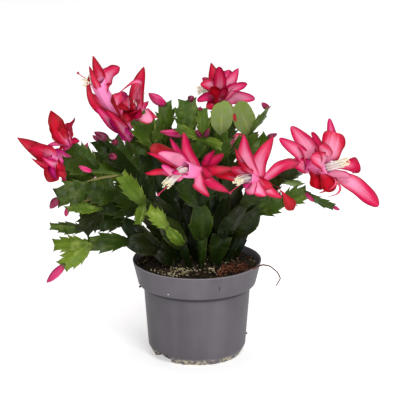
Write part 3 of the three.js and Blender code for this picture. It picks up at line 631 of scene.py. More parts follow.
# %% List the near blooms
BLOOMS = [
    ((-122, -18, 190), (-134, -30, 197), [
        (0.6, -163, -24, 214, 7.5, 0.22, 0.9, 0.05), (0.6, -150, -44, 210, 7.5, 0.3, 0.35, 0.1),
        (0.6, -138, -50, 207, 3.4, 0.0, 0.4, 0.9),
        (0.5, -150, -38, 199, 4.4, 0.1, 0.9, 0.1, 0.6, -128, -38, 183),
        (0.5, -139, -46, 202, 4, 0.65, 0.6, 0.5, 0.6, -125, -44, 188),
        (0.7, -129, -47, 179, 6.8, 0.1, 0.2, 0.05),
        (0.7, -126, -52, 183, 3.6, 0.0, 0.4, 0.9), (0.4, -119, -38, 188, 5, 0.05, 0.5, 0.1),
        (0.5, -119, -36, 180, 5.5, 0.0, 0.4, 0.1), (0.7, -147, -10, 195, 7, 0.3, 0.6, 0.2),
    ], None, None),
    ((-115.5, 0, 198.5), (-121, -2, 212), [
        (0.4, -133, -8, 235, 8.4, 0.05, 0.75, 0.0, 1.1), (0.3, -134, -13, 221, 4.2, 0.0, 0.6, 0.1, 1.0),
        (0.4, -111, -5, 228, 5, 0.12, 0.75, 0.2), (0.5, -121, 4, 217, 6, 0.1, 0.6, 0.1),
        (0.15, -136, -10, 203, 2.8, 0.5, 0.6, 0.9), (0.15, -107, -8, 206, 4, 0.0, 0.6, 0.3),
        (0.1, -126, -9, 198, 3, 0.0, 0.6, 0.0), (0.6, -119, 12, 218, 7, 0.1, 0.6, 0.1),
        (0.3, -122, -14, 223, 6.5, 0.2, 0.6, 0.0, 1.1),
    ], None, None),
    ((-61, 37, 197), (-91, 12, 257), [
        (0.95, -95, 14, 281, 5.2, 0.1, 0.85, 0.1), (0.95, -98, 3, 274, 3.4, 0.1, 0.75, 0.1),
        (0.9, -71, 20, 269, 8.8, 0.42, 0.55, 0.25, 0.7), (0.85, -79, 6, 257, 3.6, 0.0, 0.7, 0.2),
        (0.4, -98, 4, 266, 4.2, 0.0, 0.8, 0.1, 0.5, -104, 2, 236), (0.5, -98, 10, 247, 6, 0.45, 0.6, 0.2),
        (0.22, -94, 6, 238, 5.0, 0.45, 0.7, 0.5), (0.32, -78, 0, 250, 6.5, 0.05, 0.7, 0.0),
        (0.12, -83, 4, 232, 5.5, 0.35, 0.6, 0.2), (0.9, -82, 36, 262, 8, 0.4, 0.6, 0.4),
        (0.5, -70, 40, 240, 7, 0.4, 0.6, 0.3), (0.02, -80, 10, 221, 6, 0.25, 0.45, 1.0),
    ], (-100, 6, 259), (-109, 4, 268)),
    ((-50, 50, 208), (-59, 34, 226), [
        (0.8, -49, 42, 263.5, 7.4, 0.25, 0.75, 0.1),
        (0.9, -74, 20, 242, 3.0, 0.5, 0.35, 0.3, 0.5, -39, 24, 272),
        (0.7, -42, 18, 217, 8.2, 1.0, 0.4, 0.3), (0.6, -36, 26, 219, 5.5, 0.1, 0.8, 0.1),
        (0.9, -71, 14, 231, 7, 0.0, 0.35, 0.0), (0.9, -64, 10, 219, 6.5, 0.05, 0.4, 0.1),
        (0.9, -54, 12, 222, 6.5, 0.1, 0.4, 0.3), (0.7, -64, 62, 231, 7, 0.4, 0.6, 0.2),
        (0.4, -46, 66, 224, 7, 0.4, 0.6, 0.4), (0.9, -57, 8, 229, 6, 0.05, 0.4, 0.1),
        (1.0, -60, 14, 241, 5.5, 0.15, 0.5, 0.0), (1.0, -52, 18, 238, 4, 0.3, 0.5, 0.2),
    ], (-53, 51, 234), (-55, 54, 241)),
    ((20, 58.5, 215), (22, 72, 235), [
        (0.9, 13, 76, 259, 7.2, 0.1, 0.85, 0.1), (0.75, 21, 56, 260, 6.2, 0.32, 0.5, 0.25),
        (0.9, 39, 78, 253, 5.8, 0.5, 0.8, 0.4), (0.6, 37, 64, 242, 4, 0.2, 0.8, 0.3),
        (0.5, 47, 58, 243, 5.6, 0.55, 0.5, 0.4), (0.35, 54, 54, 230, 6.5, 0.75, 0.5, 0.5),
        (0.4, 0, 50, 229, 5.5, 0.3, 0.5, 0.5), (0.2, 9, 46, 222, 7, 0.3, 0.6, 0.1),
        (0.8, 3, 56, 243, 6.5, 0.6, 0.6, 0.2), (0.3, 12, 46, 242, 6.5, 0.0, 0.5, 0.0),
        (0.3, 29, 46, 241, 5.5, 0.3, 0.5, 0.2), (0.9, 30, 100, 246, 7.5, 0.4, 0.6, 0.5),
        (0.7, 6, 94, 240, 7.5, 0.4, 0.6, 0.3), (0.1, 36, 20, 217, 3.5, 0.0, 0.5, 0.1),
        (0.25, 20, 44, 232, 4.5, 0.7, 0.5, 0.3),
    ], (4, 78, 233), (9, 76, 243)),
    ((13, -44, 189), (-12, -70, 198), [
        (0.75, -41, -60, 216, 7.5, 0.0, 0.35, 0.0), (0.7, -24, -56, 223, 4.2, 0.2, 0.8, 0.5),
        (0.45, -12, -52, 227, 5.8, 0.25, 0.7, 0.3), (0.9, -44, -80, 216, 3.2, 0.35, 0.8, 0.2),
        (0.95, -46, -90, 200, 4.2, 0.35, 0.7, 0.1), (0.2, 24, -60, 209, 5.5, 0.1, 0.6, 0.3),
        (0.5, 11, -86, 177, 7, 0.7, 0.7, 0.2), (0.25, 29, -70, 176, 5.5, 0.15, 0.7, 0.3),
        (0.4, 14, -80, 196, 6.5, 0.15, 0.6, 0.2), (0.2, 16, -62, 213, 4.5, 0.05, 0.7, 0.4),
        (0.95, -34, -86, 217, 6, 1.0, 0.6, 0.7), (0.95, -31, -90, 207, 5, 0.8, 0.5, 0.8),
        (0.95, -22, -92, 200, 4.5, 0.5, 0.5, 0.6), (0.3, 33, -62, 196, 5, 0.05, 0.7, 0.1),
    ], (-26, -92, 192), (-35, -99, 182)),
    ((63, -25, 174), (45, -48, 183), [
        (0.6, 42, -30, 219, 7.8, 0.6, 0.75, 0.3), (0.45, 69, -34, 218, 8.4, 0.55, 0.75, 0.2),
        (0.8, 34, -54, 213, 3.6, 0.5, 0.8, 0.1), (0.85, 15, -64, 191, 4.6, 0.2, 0.6, 0.0),
        (0.25, 92, -32, 192, 5.8, 0.25, 0.4, 0.25, 0.6, 78, -30, 193),
        (0.25, 77, -34, 160, 5, 0.45, 0.6, 0.2),
        (0.1, 88, -30, 147, 6.6, 0.05, 1.0, 0.0, 8, 77, -32, 174), (0.6, 62, -48, 166, 6, 0.7, 0.5, 0.3),
        (0.95, 30, -62, 196, 5, 0.3, 0.5, 0.2), (0.9, 38, -58, 201, 5, 0.1, 0.5, 0.1),
        (0.8, 50, -62, 172, 6.5, 0.95, 0.4, 0.5), (0.5, 68, -46, 174, 6, 0.3, 0.5, 0.1),
        (0.95, 44, -64, 178, 4, 0.1, 0.4, 0.8),
    ], (36, -66, 186), (29, -74, 176)),
    ((91, 4, 179.5), (120, -15, 184), [
        (0.25, 75, -12, 210, 7.2, 0.65, 0.5, 0.35), (0.35, 86, 0, 218, 9, 0.68, 0.55, 0.3),
        (0.55, 106, 6, 211, 5.5, 0.3, 0.4, 0.3), (0.8, 121, 2, 225, 5, 0.6, 0.5, 0.5),
        (0.8, 125, -16, 217, 11.6, 0.72, 0.2, 0.1), (0.9, 111, -30, 208, 8.5, 0.7, 0.4, 0.2),
        (0.9, 103, -36, 200, 8.5, 0.66, 0.5, 0.2), (0.95, 150, 2, 180, 7.6, 0.35, 0.6, 0.2, 3.0),
        (0.9, 166, -20, 148, 8.6, 0.6, 0.5, 0.25, 1.0), (0.5, 108, -28, 167, 9.5, 0.0, 0.3, 0.0),
        (0.75, 119, -30, 164, 9.5, 0.0, 0.35, 0.0), (0.3, 100, -22, 192, 5, 0.2, 0.4, 1.0),
        (0.3, 84, -20, 190, 7, 0.5, 0.5, 0.3),
        (0.9, 111, -26, 162, 1.5, 0.3, 0.5, 0.1, 1.0, 138, -30, 172),
        (0.95, 140, -26, 177, 5, 1.0, 0.5, 0.6),
        (0.6, 118, -28, 158.5, 1.4, 0.4, 0.5, 0.2, 1.0, 144, -32, 168),
        (0.6, 122, 22, 170, 7, 0.4, 0.6, 0.3),
    ], (133.5, -22, 191), (143, -26, 181)),
]
print("near blooms:", len(BLOOMS))

# %% [markdown]
# Three blooms hang on the far side. Each is told as its far stem, the pad it hangs on, how much its
# tube points upward and how far it has opened. Its petals lie in three tiers round the tube, by a
# rule: a tier is its place along the tube, its count, reach, lean in degrees and half-width.

# %% Work out the far blooms
FAR_BLOOMS = [(1, 3, 0.15, 1), (2, 5, 0.8, 0.5), (3, 3, 0.3, 1)]
FAR_LENGTH, FAR_START, FAR_BRUSH, FAR_STIGMA = 34, 1, 15, 24
FAR_TIERS = [(0.2, 2, 15, 65, 5), (0.6, 2, 21, 80, 8), (0.95, 5, 25, 62, 7)]


def far_bloom(stem, pad, rise, opened):
    """Petals at even angles in each tier. They lean from the tube's way by the tier's angle times how
    far the bloom has opened."""
    _, pads, _, facing = stems[len(STEMS) + stem]
    base = np.array(pads[pad][1:4])
    way = unit([facing[0], facing[1], rise])
    side = unit(np.cross([0, 0, 1], way))
    lift = np.cross(way, side)
    petals = []
    for tier, (share, count, reach, lean, half_width) in enumerate(FAR_TIERS):
        for k in range(count):
            angle = 2 * np.pi * (k + tier / 2) / count + 0.4
            outward = side * np.cos(angle) + lift * np.sin(angle)
            slant = np.radians(lean * opened)
            end = base + way * (share * FAR_LENGTH + reach * np.cos(slant))
            end = end + outward * (reach * np.sin(slant) + 3)
            tone, point, hue = draw.uniform(0.1, 0.8), draw.uniform(0.4, 0.8), draw.uniform()
            petals.append((share, *end, half_width, tone, point, hue))
    mouth, brush, stigma = (base + way * (FAR_LENGTH + more) for more in (0, FAR_BRUSH, FAR_STIGMA))
    return base + way * FAR_START, mouth, petals, brush, stigma, facing


blooms = [(*bloom, FACES_FRONT) for bloom in BLOOMS] + [far_bloom(*far) for far in FAR_BLOOMS]
print("blooms in all:", len(blooms))

# %% [markdown]
# ## Petals
# A petal is silky: crimson at its margin, fading to pink-white along its middle and towards its root.
# The tube is bright pink. The colour follows the petal's own lengthways and crossways values, and
# fine streaks run along it.

# %% Paint the petals
def paint_petals(w):
    across, along, hue = w.attribute("across").size(), w.attribute("along"), w.attribute("hue")
    tone, tube, where = w.attribute("tone"), w.attribute("kind"), w.position()
    streaks = w.noise(w.point(w.attribute("across") * 7.0, along * 0.8, tone * 40.0), 1.0, 3.0)
    cloud = w.noise(where, 60.0, 2.0)
    uneven = (streaks - 0.5) * 0.4 + (cloud - 0.5) * 0.3
    depth = across ** 2 * 0.68 + along ** 2 * 0.68 + uneven - tone * 0.85 + 0.3
    mid, deep = hue.mix(dye("CC122E"), dye("DC1E84")), hue.mix(dye("94000C"), dye("86084A"))
    rose = depth.step(-0.1, 0.5).mix(dye("EE92B4"), mid)
    petal = depth.step(0.45, 1.1).mix(rose, deep)
    rimmed = (across.step(0.74, 1.0) * along.step(0.05, 0.4) * 0.7).mix(petal, deep)
    rooted = (along.fade(0.0, 0.25) * 0.6).mix(rimmed, dye("EE7CB4"))
    pink = (along + (streaks - 0.5) * 0.7).step(0.05, 0.7).mix(dye("E22C8C"), dye("FA90C8"))
    tube_foot = along.fade(0.03, 0.16).mix(pink, dye("8A1838"))
    colour = tube.mix(rooted, tube_foot)
    return {
        "Base_Color": colour,
        "Roughness": 0.34 + streaks * 0.2,
        "Normal": w.bump(streaks + cloud * 0.3, 0.0006, 0.4),
    }


petal_finish = finish("petal_silk", paint_petals, Specular_IOR_Level=0.22)

# %% [markdown]
# The tube starts as a small round ovary, narrows, and flares to its open mouth. A petal leaves its
# side at a slant, curls over, and ends in a point. Both are grids: the tube's rings go up its outside
# and back down its inside, and a petal's rings are thin ellipses that are hollowed and ruffled.

# %% Shape a tube and a petal
TUBE_STATIONS = [0, 0.14, 0.36, 1]
TUBE_RADII = np.array([1.5, 4.2, 4.4, 5.8])
TUBE_SAG, TUBE_SIDES, TUBE_WALL = 0.12, 32, 0.45
PETAL_SIDES = 20
# A petal's root lies at these shares of the tube's radius, in its lower half and at its mouth.
PETAL_SET = (0.5, 0.85)
# Its bend lies so far along the tube's way and outward, as shares of its length.
PETAL_LEAD, PETAL_SPREAD = 0.3, 0.2
PETAL_RISE = 0.6
# Its face turns so much to the front, and more on a bloom that is seen from behind.
PETAL_TURN, PETAL_BACK = 0.7, 7


def tube_bend(base, mouth):
    """The bend of a tube's line: its middle, lowered a little."""
    return (base + mouth) / 2 - np.array([0, 0, TUBE_SAG * np.linalg.norm(mouth - base)])


def tube_skin(skins, base, mouth, size):
    """Rings at 0..1 on the outside, then back to 0.5 inside a thin wall, with eight soft flutes."""
    out, back = np.linspace(0, 1, 26), np.linspace(1, 0.5, 9)
    u = np.concatenate([out, back])
    wall = np.concatenate([np.zeros(len(out)), np.full(len(back), TUBE_WALL)])
    places, ways = bent_line(base, tube_bend(base, mouth), mouth, u)
    angle = around(TUBE_SIDES)
    flute = 1 + 0.05 * np.cos(8 * angle[None]) * step(0.3, 0.8, u[:, None])
    radii = (through(u, TUBE_STATIONS, TUBE_RADII * size) - wall)[:, None] * flute
    grid = round_skin(places, ways, radii, TUBE_SIDES)
    skins.add(grid, across=np.cos(4 * angle)[None], along=u[:, None], tone=0.5, kind=1.0)


def petal_skin(skins, base, mouth, size, petal, facing):
    """Half-width = (u + 0.1)^rise * (1.002 - u)^point, scaled to its widest. Height = thin ellipse +
    hollow across + ruffle at the margin + keel + a tip that curls back, all twisted a little."""
    along, x, y, z, half_width, tone, point, hue, *more = petal
    centre, way = (found[0] for found in bent_line(base, tube_bend(base, mouth), mouth, [along]))
    tip = np.array([x, y, z], float)
    reach = tip - centre
    length = np.linalg.norm(reach)
    outward = unit(reach - reach.dot(way) * way)
    radius = size * (TUBE_RADII[2] + (TUBE_RADII[3] - TUBE_RADII[2]) * along)
    inner, outer = PETAL_SET
    root = centre + outward * (inner + (outer - inner) * step(0.5, 1, along)) * radius
    bend = root + way * PETAL_LEAD * length + outward * PETAL_SPREAD * length
    if len(more) == 4:
        bend = np.array(more[1:], float)
    turn = PETAL_TURN + PETAL_BACK * max(0.0, -way.dot(facing))
    side = unit(np.cross(reach, way + turn * facing))
    u = 1 - np.linspace(1, 0, 28) ** 1.3
    places, ways = bent_line(root, bend, tip, u)
    twist = draw.uniform(-0.5, 0.5) * u[:, None]
    angle, u = around(PETAL_SIDES)[None], u[:, None]
    cos, sin = np.cos(angle), np.sin(angle)
    width = (u + 0.1) ** (more[0] if more else PETAL_RISE) * (1.002 - u) ** point
    width = half_width * width / width.max()
    room = np.minimum(1, width / half_width * 1.4)
    thick = 0.38 * (1 - 0.6 * u)
    hollow = draw.uniform(-0.55, -0.05) * half_width * cos**2 * (0.4 + 0.6 * np.sin(np.pi * u))
    ruffle = draw.uniform(0.08, 0.2) * half_width * np.abs(cos) ** 3
    ruffle = ruffle * np.sin(2 * np.pi * (draw.uniform(1.4, 2.6) * u + draw.uniform()) + 2.5 * cos)
    keel = -0.06 * half_width * np.exp(-((cos / 0.25) ** 2)) * (1 - u)
    curl = draw.uniform(0.05, 0.24) * length * (step(0.45, 1, u) ** 2 - u**2)
    height = thick * sin * (0.3 + 0.7 * room) + (hollow + ruffle) * room + keel + curl
    grid = flat_skin(places, ways, side, twist, width * cos, height)
    skins.add(grid, across=cos, along=u, tone=tone + draw.uniform(-0.05, 0.05), hue=hue)


print("tube radii in mm:", TUBE_RADII)

# %% Open the blooms
def tube_size(base, mouth):
    """How thick a tube is, from its length. A tube of 30 mm has size 1."""
    return float(np.clip(np.linalg.norm(mouth - base) / 30, 0.75, 1.2))


def open_bloom(number, base, mouth, petals, facing):
    """One mesh of a bloom's tube and petals."""
    base, mouth = np.array(base, float), np.array(mouth, float)
    size = tube_size(base, mouth)
    skins = Skins()
    tube_skin(skins, base, mouth, size)
    for petal in petals:
        petal_skin(skins, base, mouth, size, petal, facing)
    made = skins.piece(f"bloom_{number:02d}_corolla", petal_finish, "petals")
    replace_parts(made, f"bloom_{number:02d}_petals")


for number, (base, mouth, petals, _, _, facing) in enumerate(blooms, 1):
    open_bloom(number, base, mouth, petals, facing)

# %% [markdown]
# ## Stamens and style
# Dozens of white threads leave the throat as a bundle and end in cream anthers. The style is one
# thicker, crimson thread that reaches past them to its knob.

# %% Paint the threads
def paint_threads(w):
    along, where = w.attribute("along"), w.position()
    grain = w.noise(where, 900.0, 2.0)
    thread = (along + grain * 0.1).step(0.0, 0.5).mix(dye("F6CFDA"), dye("FBF6EE"))
    anther = grain.mix(dye("EEDDAE"), dye("FAF3DC"))
    colour = w.attribute("kind").mix(thread, anther)
    return {"Base_Color": colour, "Roughness": 0.55 + grain * 0.2, "Normal": w.bump(grain, 0.0003, 0.4)}


def paint_style(w):
    along, grain = w.attribute("along"), w.noise(w.position(), 700.0, 2.0)
    colour = (along + grain * 0.2).step(0.1, 0.9).mix(dye("E04A86"), dye("B01048"))
    return {"Base_Color": colour, "Roughness": 0.35 + grain * 0.15, "Normal": w.bump(grain, 0.0004, 0.5)}


thread_finish = finish("stamen_threads", paint_threads, Subsurface_Weight=0.2, Subsurface_Scale=0.001)
style_finish = finish("style_skin", paint_style)

# %% Bundle the stamens
STAMENS = 64
# The bundle's radius at its brush and root, and where its threads bend.
BRUSH_RADIUS, BEND_RADIUS = 4.2, 3.6
ANTHER_STATIONS = np.linspace(-0.5, 1.3, 6)
ANTHER_RADII = np.array([0.12, 0.45, 0.58, 0.56, 0.4, 0.1])


def stamen_bundle(number, base, mouth, brush, stigma):
    """Each thread bends from a point in the throat to its own place in the brush, and ends in an
    anther that nods. The style is a thicker bent line with a knob at its end."""
    base, mouth, brush, stigma = (np.array(p, float) for p in (base, mouth, brush, stigma))
    way = bent_line(base, tube_bend(base, mouth), mouth, [1.0])[1][0]
    root, bend = mouth - way * 3, mouth + way * 3
    end = unit(brush - bend)
    side = unit(np.cross(end, [0, 0.4, 0.9]))
    lift = np.cross(end, side)
    white, red = Skins(), Skins()
    u = np.linspace(0, 1, 9)
    for _ in range(STAMENS):
        angle, spread, ahead = draw.uniform(0, 2 * np.pi), draw.uniform() ** 0.5, draw.uniform(-5, 4)
        aside = side * np.cos(angle) + lift * np.sin(angle)
        tip = brush + aside * spread * BRUSH_RADIUS + end * ahead + np.array([0, 0, -0.8 * spread])
        start, middle = root + aside * BRUSH_RADIUS * spread, bend + aside * BEND_RADIUS * spread
        places, ways = bent_line(start, middle, tip, u)
        white.add(round_skin(places, ways, np.linspace(0.24, 0.15, 9), 5), along=u[:, None])
        nod = unit(ways[-1] + draw.normal(0, 0.5, 3))
        places, ways = straight(tip, nod, ANTHER_STATIONS)
        white.add(round_skin(places, ways, ANTHER_RADII, 6), along=1.0, kind=1.0)
    threads = white.piece(f"bloom_{number:02d}_threads", thread_finish, "stamens")
    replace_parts(threads, f"bloom_{number:02d}_stamens")
    u = np.linspace(0, 1, 18)
    bow = (brush + stigma) / 2 + lift * 1.5
    places, ways = bent_line(root, bow, stigma, u)
    knob = through(u, [0, 0.85, 0.91, 0.97, 1], [0.5, 0.42, 1.3, 1.6, 0.3])
    red.add(round_skin(places, ways, knob, 10), along=u[:, None])
    red.piece(f"bloom_{number:02d}_style", style_finish, "petals")


for number, (base, mouth, _, brush, stigma, _) in enumerate(blooms, 1):
    if brush is not None:
        stamen_bundle(number, base, mouth, brush, stigma)

# %% [markdown]
# ## Pot
# A thin moulded pot: a rim band that stands out over a tapered body, a chamfered foot and two
# drainage notches. It is one turned profile. The notches are pressed into the same grid: where a
# point lies in a notch's sector and outside its radius, it is lifted to the notch's ceiling.

# %% Paint the pot
# Marks in metres: a dark scratch, a pale fleck, the painted shade under the rim band, the painted
# highlight along the front of the rim's top edge, and the heights between which the scuffs at the foot fade.
SCRATCH_X, SCRATCH_FOOT, SCRATCH_TOP = 0.0205, 0.076, 0.0825
FLECK_X, FLECK_Z = -0.0262, 0.0723
SHADE_FOOT, SHADE_TOP = 0.0636, 0.0688
LIT_EDGE = 0.0896
SCUFF_FOOT, SCUFF_TOP = 0.003, 0.0075


def paint_pot(w):
    where = w.position()
    x, y, z = (where.part(axis) for axis in "XYZ")
    streaks = w.noise(w.stretched(where, (60.0, 60.0, 3.0)), 1.0, 3.0)
    cloud = w.noise(where, 24.0, 3.0)
    dust = w.noise(where, 700.0, 2.0)
    grey = (cloud * 0.5 + streaks * 0.5).step(0.2, 0.8).mix(dye("524E53"), dye("68646A"))
    low = z.fade(SCUFF_FOOT, SCUFF_TOP) * w.noise(where, 260.0, 4.0, 0.7).step(0.44, 0.6)
    scuffed = (low * 0.9).mix(grey, dye("C4BBA2"))
    specks = w.cells(where, 130.0).fade(0.03, 0.09) * dust.step(0.62, 0.7) * 0.5
    dusty = specks.mix(scuffed, dye("C8C6C8"))
    front = y.fade(-0.01, 0.0)
    height = z.step(SCRATCH_FOOT, SCRATCH_FOOT + 0.0015) * z.fade(SCRATCH_TOP - 0.0015, SCRATCH_TOP)
    scratch = x.near(SCRATCH_X, 0.0002, 0.0008) * front * height
    # Painted shade just under the rim band, and a painted highlight on the front of the rim's top edge.
    shade = z.step(SHADE_FOOT, SHADE_FOOT + 0.0026) * z.fade(SHADE_TOP - 0.0004, SHADE_TOP) * 0.75
    shaded = shade.mix(dusty, dye("2A272A"))
    lit = z.step(LIT_EDGE, LIT_EDGE + 0.0006) * y.fade(-0.03, 0.0) * 0.5
    edged = lit.mix(shaded, dye("8E8A90"))
    fleck = x.near(FLECK_X, 0.0002, 0.0007) * z.near(FLECK_Z, 0.0002, 0.0007) * front
    flecked = fleck.mix(edged, dye("E6E4E2"))
    colour = scratch.mix(flecked, dye("3A3638"))
    return {
        "Base_Color": colour,
        "Roughness": 0.36 + streaks * 0.14 + low * 0.3,
        "Normal": w.bump(streaks * 0.6 + dust * 0.12 + low * 0.4, 0.0004, 0.5),
    }


pot_finish = finish("pot_plastic", paint_pot, Specular_IOR_Level=0.08)

# %% Turn the pot
POT_HEIGHT, RIM, BAND_FOOT_RADIUS, SHOULDER, CHAMFER, FOOT = 90.7, 60, 54.4, 49.6, 45.2, 40
BAND_FOOT = POT_HEIGHT - 22.7
CHAMFER_HEIGHT = 9.5
WALL, FLOOR = 1.5, 2.2
NOTCH_AZIMUTHS, NOTCH_HALF, NOTCH_RADIUS, NOTCH_HEIGHT = (-143, 37), 18, 34, 8.5
# The smallest radius of a turned skin, and how much higher a notch's ceiling is inside the pot.
AXIS, NOTCH_SHELL = 0.01, 1.3
# How far a corner is rounded, and the longest stretch between two rings.
CORNER, STRETCH = 0.9, 4


def rounded(corners, reach, steps=5):
    """A profile whose corners are each replaced by a quadratic Bezier that starts and ends at most
    the given reach away along the two sides."""
    corners = np.array(corners, float)
    line = [corners[:1]]
    for before, corner, after in zip(corners[:-2], corners[1:-1], corners[2:]):
        ahead, behind = after - corner, before - corner
        short = min(reach, 0.45 * np.linalg.norm(ahead), 0.45 * np.linalg.norm(behind))
        first, last = corner + unit(behind) * short, corner + unit(ahead) * short
        line.append(bent_line(first, corner, last, np.linspace(0, 1, steps))[0])
    line.append(corners[-1:])
    return np.concatenate(line)


def filled(profile, longest):
    """The same profile with more points, so that no stretch is longer than the given length."""
    pieces = []
    for start, end in zip(profile[:-1], profile[1:]):
        count = max(1, int(np.ceil(np.linalg.norm(end - start) / longest)))
        pieces.append(start + (end - start) * (np.arange(count) / count)[:, None])
    return np.concatenate([*pieces, profile[-1:]])


def turned(profile, angles):
    """Rings of a (radius, height) profile at the given angles round the pot's axis."""
    radius, height = profile[:, 0, None], profile[:, 1, None] + 0 * angles[None]
    return np.stack([radius * np.cos(angles), radius * np.sin(angles), height], -1)


def press_notches(grid, angles, half, radius, height):
    """Lifts the points of each notch's sector that lie outside its radius and under its ceiling."""
    for azimuth in NOTCH_AZIMUTHS:
        turn = (np.degrees(angles) - azimuth + 180) % 360 - 180
        inside = (np.abs(turn) < half)[None] & (np.hypot(grid[..., 0], grid[..., 1]) > radius)
        grid[..., 2] = np.where(inside, np.maximum(grid[..., 2], height), grid[..., 2])
    return grid


OUTSIDE = [(AXIS, 0), (NOTCH_RADIUS - 0.1, 0), (NOTCH_RADIUS + 0.1, 0), (FOOT, 0),
           (CHAMFER, CHAMFER_HEIGHT), (SHOULDER, BAND_FOOT), (BAND_FOOT_RADIUS, BAND_FOOT + 0.8),
           (RIM - 0.3, POT_HEIGHT)]
INSIDE = [(RIM - WALL, POT_HEIGHT), (BAND_FOOT_RADIUS - WALL, BAND_FOOT + 1.8),
          (SHOULDER - WALL, BAND_FOOT - 1.2), (CHAMFER - WALL, CHAMFER_HEIGHT + 0.4),
          (FOOT - 1, FLOOR), (AXIS, FLOOR)]
# A pair of angles close together at each side of a notch keeps its walls steep.
edges = np.array([a + s * NOTCH_HALF + e for a in NOTCH_AZIMUTHS for s in (-1, 1) for e in (-0.12, 0.12)])
angles = np.radians(np.sort(np.concatenate([np.arange(-180, 180, 2.5), edges])))
outside = filled(rounded(OUTSIDE + INSIDE[:1], CORNER), STRETCH)
inside = filled(rounded(INSIDE, CORNER), STRETCH)
outer = press_notches(turned(outside, angles), angles, NOTCH_HALF, NOTCH_RADIUS, NOTCH_HEIGHT)
inner = press_notches(turned(inside, angles), angles, NOTCH_HALF + 2, NOTCH_RADIUS - WALL,
                      NOTCH_HEIGHT + NOTCH_SHELL)
pot_skins = Skins()
pot_skins.add(np.concatenate([outer, inner]))
pot = pot_skins.piece("nursery_pot", pot_finish, "pot")
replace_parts(pot, "pot")

# %% [markdown]
# ## Soil
# Peat mix is a heap of dark crumbs with a few pale bits, brown fibres and dry roots. The body of the
# soil is one turned skin whose top is raised by sums of sines and small random lumps, and the
# crumbs, bits and fibres are many small pieces of a few faces each, laid on it.

# %% Paint the soil and what lies in it
def paint_soil(w):
    where = w.position()
    grain, lumps = w.noise(where, 500.0, 5.0, 0.7), w.cells(where, 420.0)
    dark = grain.step(0.3, 0.75).mix(dye("120E0A"), dye("3C3222"))
    tan = lumps.fade(0.1, 0.3) * w.noise(where, 90.0, 2.0).step(0.53, 0.64) * 0.45
    return {
        "Base_Color": tan.mix(dark, dye("8C7C56")),
        "Roughness": 0.85 + grain * 0.12,
        "Normal": w.bump(grain + lumps * 0.6, 0.002, 1.0),
    }


def paint_bits(light, dark):
    """The paint of small loose bits, which run from dark to light by their tone."""

    def paint(w):
        grain = w.noise(w.position(), 1500.0, 2.0)
        shade = (w.attribute("tone") * 0.8 + grain * 0.3).step(0.1, 1.0)
        return {
            "Base_Color": shade.mix(dye(dark), dye(light)),
            "Roughness": 0.75 + grain * 0.2,
            "Normal": w.bump(grain, 0.0005, 0.7),
        }

    return paint


soil_finish = finish("peat", paint_soil, Specular_IOR_Level=0.2)
crumb_finish = finish("peat_crumbs", paint_bits("6A5C3E", "100C08"), Specular_IOR_Level=0.2)
pale_finish = finish("pale_bits", paint_bits("DCD3B2", "8F7F52"), Specular_IOR_Level=0.3)
fibre_finish = finish("brown_fibre", paint_bits("7E4A32", "1E0E08"), Specular_IOR_Level=0.2)

# %% Fill the pot
SOIL_EDGE, SOIL_MOUND, AIR = 84.4, 1.8, 0.35
slope = (RIM - BAND_FOOT_RADIUS) / (POT_HEIGHT - BAND_FOOT)
SOIL_RADIUS = RIM - WALL - AIR - (POT_HEIGHT - SOIL_EDGE) * slope
waves = draw.uniform(-1, 1, (28, 3)) * [0.6, 0.6, np.pi]


def soil_height(x, y):
    """Height of the soil: a low mound, plus sines of random direction and phase under 1 mm high."""
    mound = SOIL_MOUND * (1 - np.clip(np.hypot(x, y) / SOIL_RADIUS, 0, 1))
    ripple = sum(np.sin(a * x + b * y + c) for a, b, c in waves) * 0.2
    return SOIL_EDGE + mound + ripple


soil_angles = np.radians(np.arange(0, 360, 2))
SOIL_SIDE = [(AXIS, FLOOR + AIR), (NOTCH_RADIUS - WALL - AIR, FLOOR + AIR), (FOOT - 1 - AIR, FLOOR + AIR),
             (CHAMFER - WALL - AIR, CHAMFER_HEIGHT + 0.7), (SHOULDER - WALL - AIR, BAND_FOOT - 0.9),
             (BAND_FOOT_RADIUS - WALL - AIR, BAND_FOOT + 2.1), (SOIL_RADIUS, SOIL_EDGE - 1.5)]
soil_body = press_notches(turned(filled(np.array(SOIL_SIDE, float), 6), soil_angles), soil_angles,
                          NOTCH_HALF + 2.7, NOTCH_RADIUS - WALL - AIR, NOTCH_HEIGHT + NOTCH_SHELL + AIR)
TOP_RINGS, TOP_ROUGHNESS = 60, 0.28
top_radii = np.linspace(SOIL_RADIUS, 0.3, TOP_RINGS)
top = turned(np.stack([top_radii, top_radii * 0], -1), soil_angles)
top[..., 2] = soil_height(top[..., 0], top[..., 1])
top[..., 2] += draw.normal(0, TOP_ROUGHNESS, top.shape[:2]) * (np.arange(TOP_RINGS) > 0)[:, None]
soil_skins = Skins()
soil_skins.add(np.concatenate([soil_body, top]))
soil = soil_skins.piece("peat_body", soil_finish, "soil")
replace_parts(soil, "potting_soil")

# %% Scatter crumbs, pale bits and fibres
LUMP_STATIONS = np.array([-0.8, -0.3, 0.35, 0.85])
LUMP_RADII = np.array([0.35, 0.95, 0.9, 0.3])


def lump(skins, centre, size, tone):
    """A small stone-like body: four short rings of five points, each pushed about at random."""
    places, ways = straight(centre, unit(draw.normal(0, 1, 3)), LUMP_STATIONS * size)
    radii = size * LUMP_RADII[:, None] * draw.uniform(0.7, 1.2, (4, 5))
    skins.add(round_skin(places, ways, radii, 5), tone=tone)


def on_soil(radius_share, angle, above):
    """A point so far above the soil, at a share of its radius and an angle round the pot."""
    r = SOIL_RADIUS * radius_share
    x, y = r * np.cos(angle), r * np.sin(angle)
    return np.array([x, y, soil_height(x, y) + above])


CRUMBS = 900
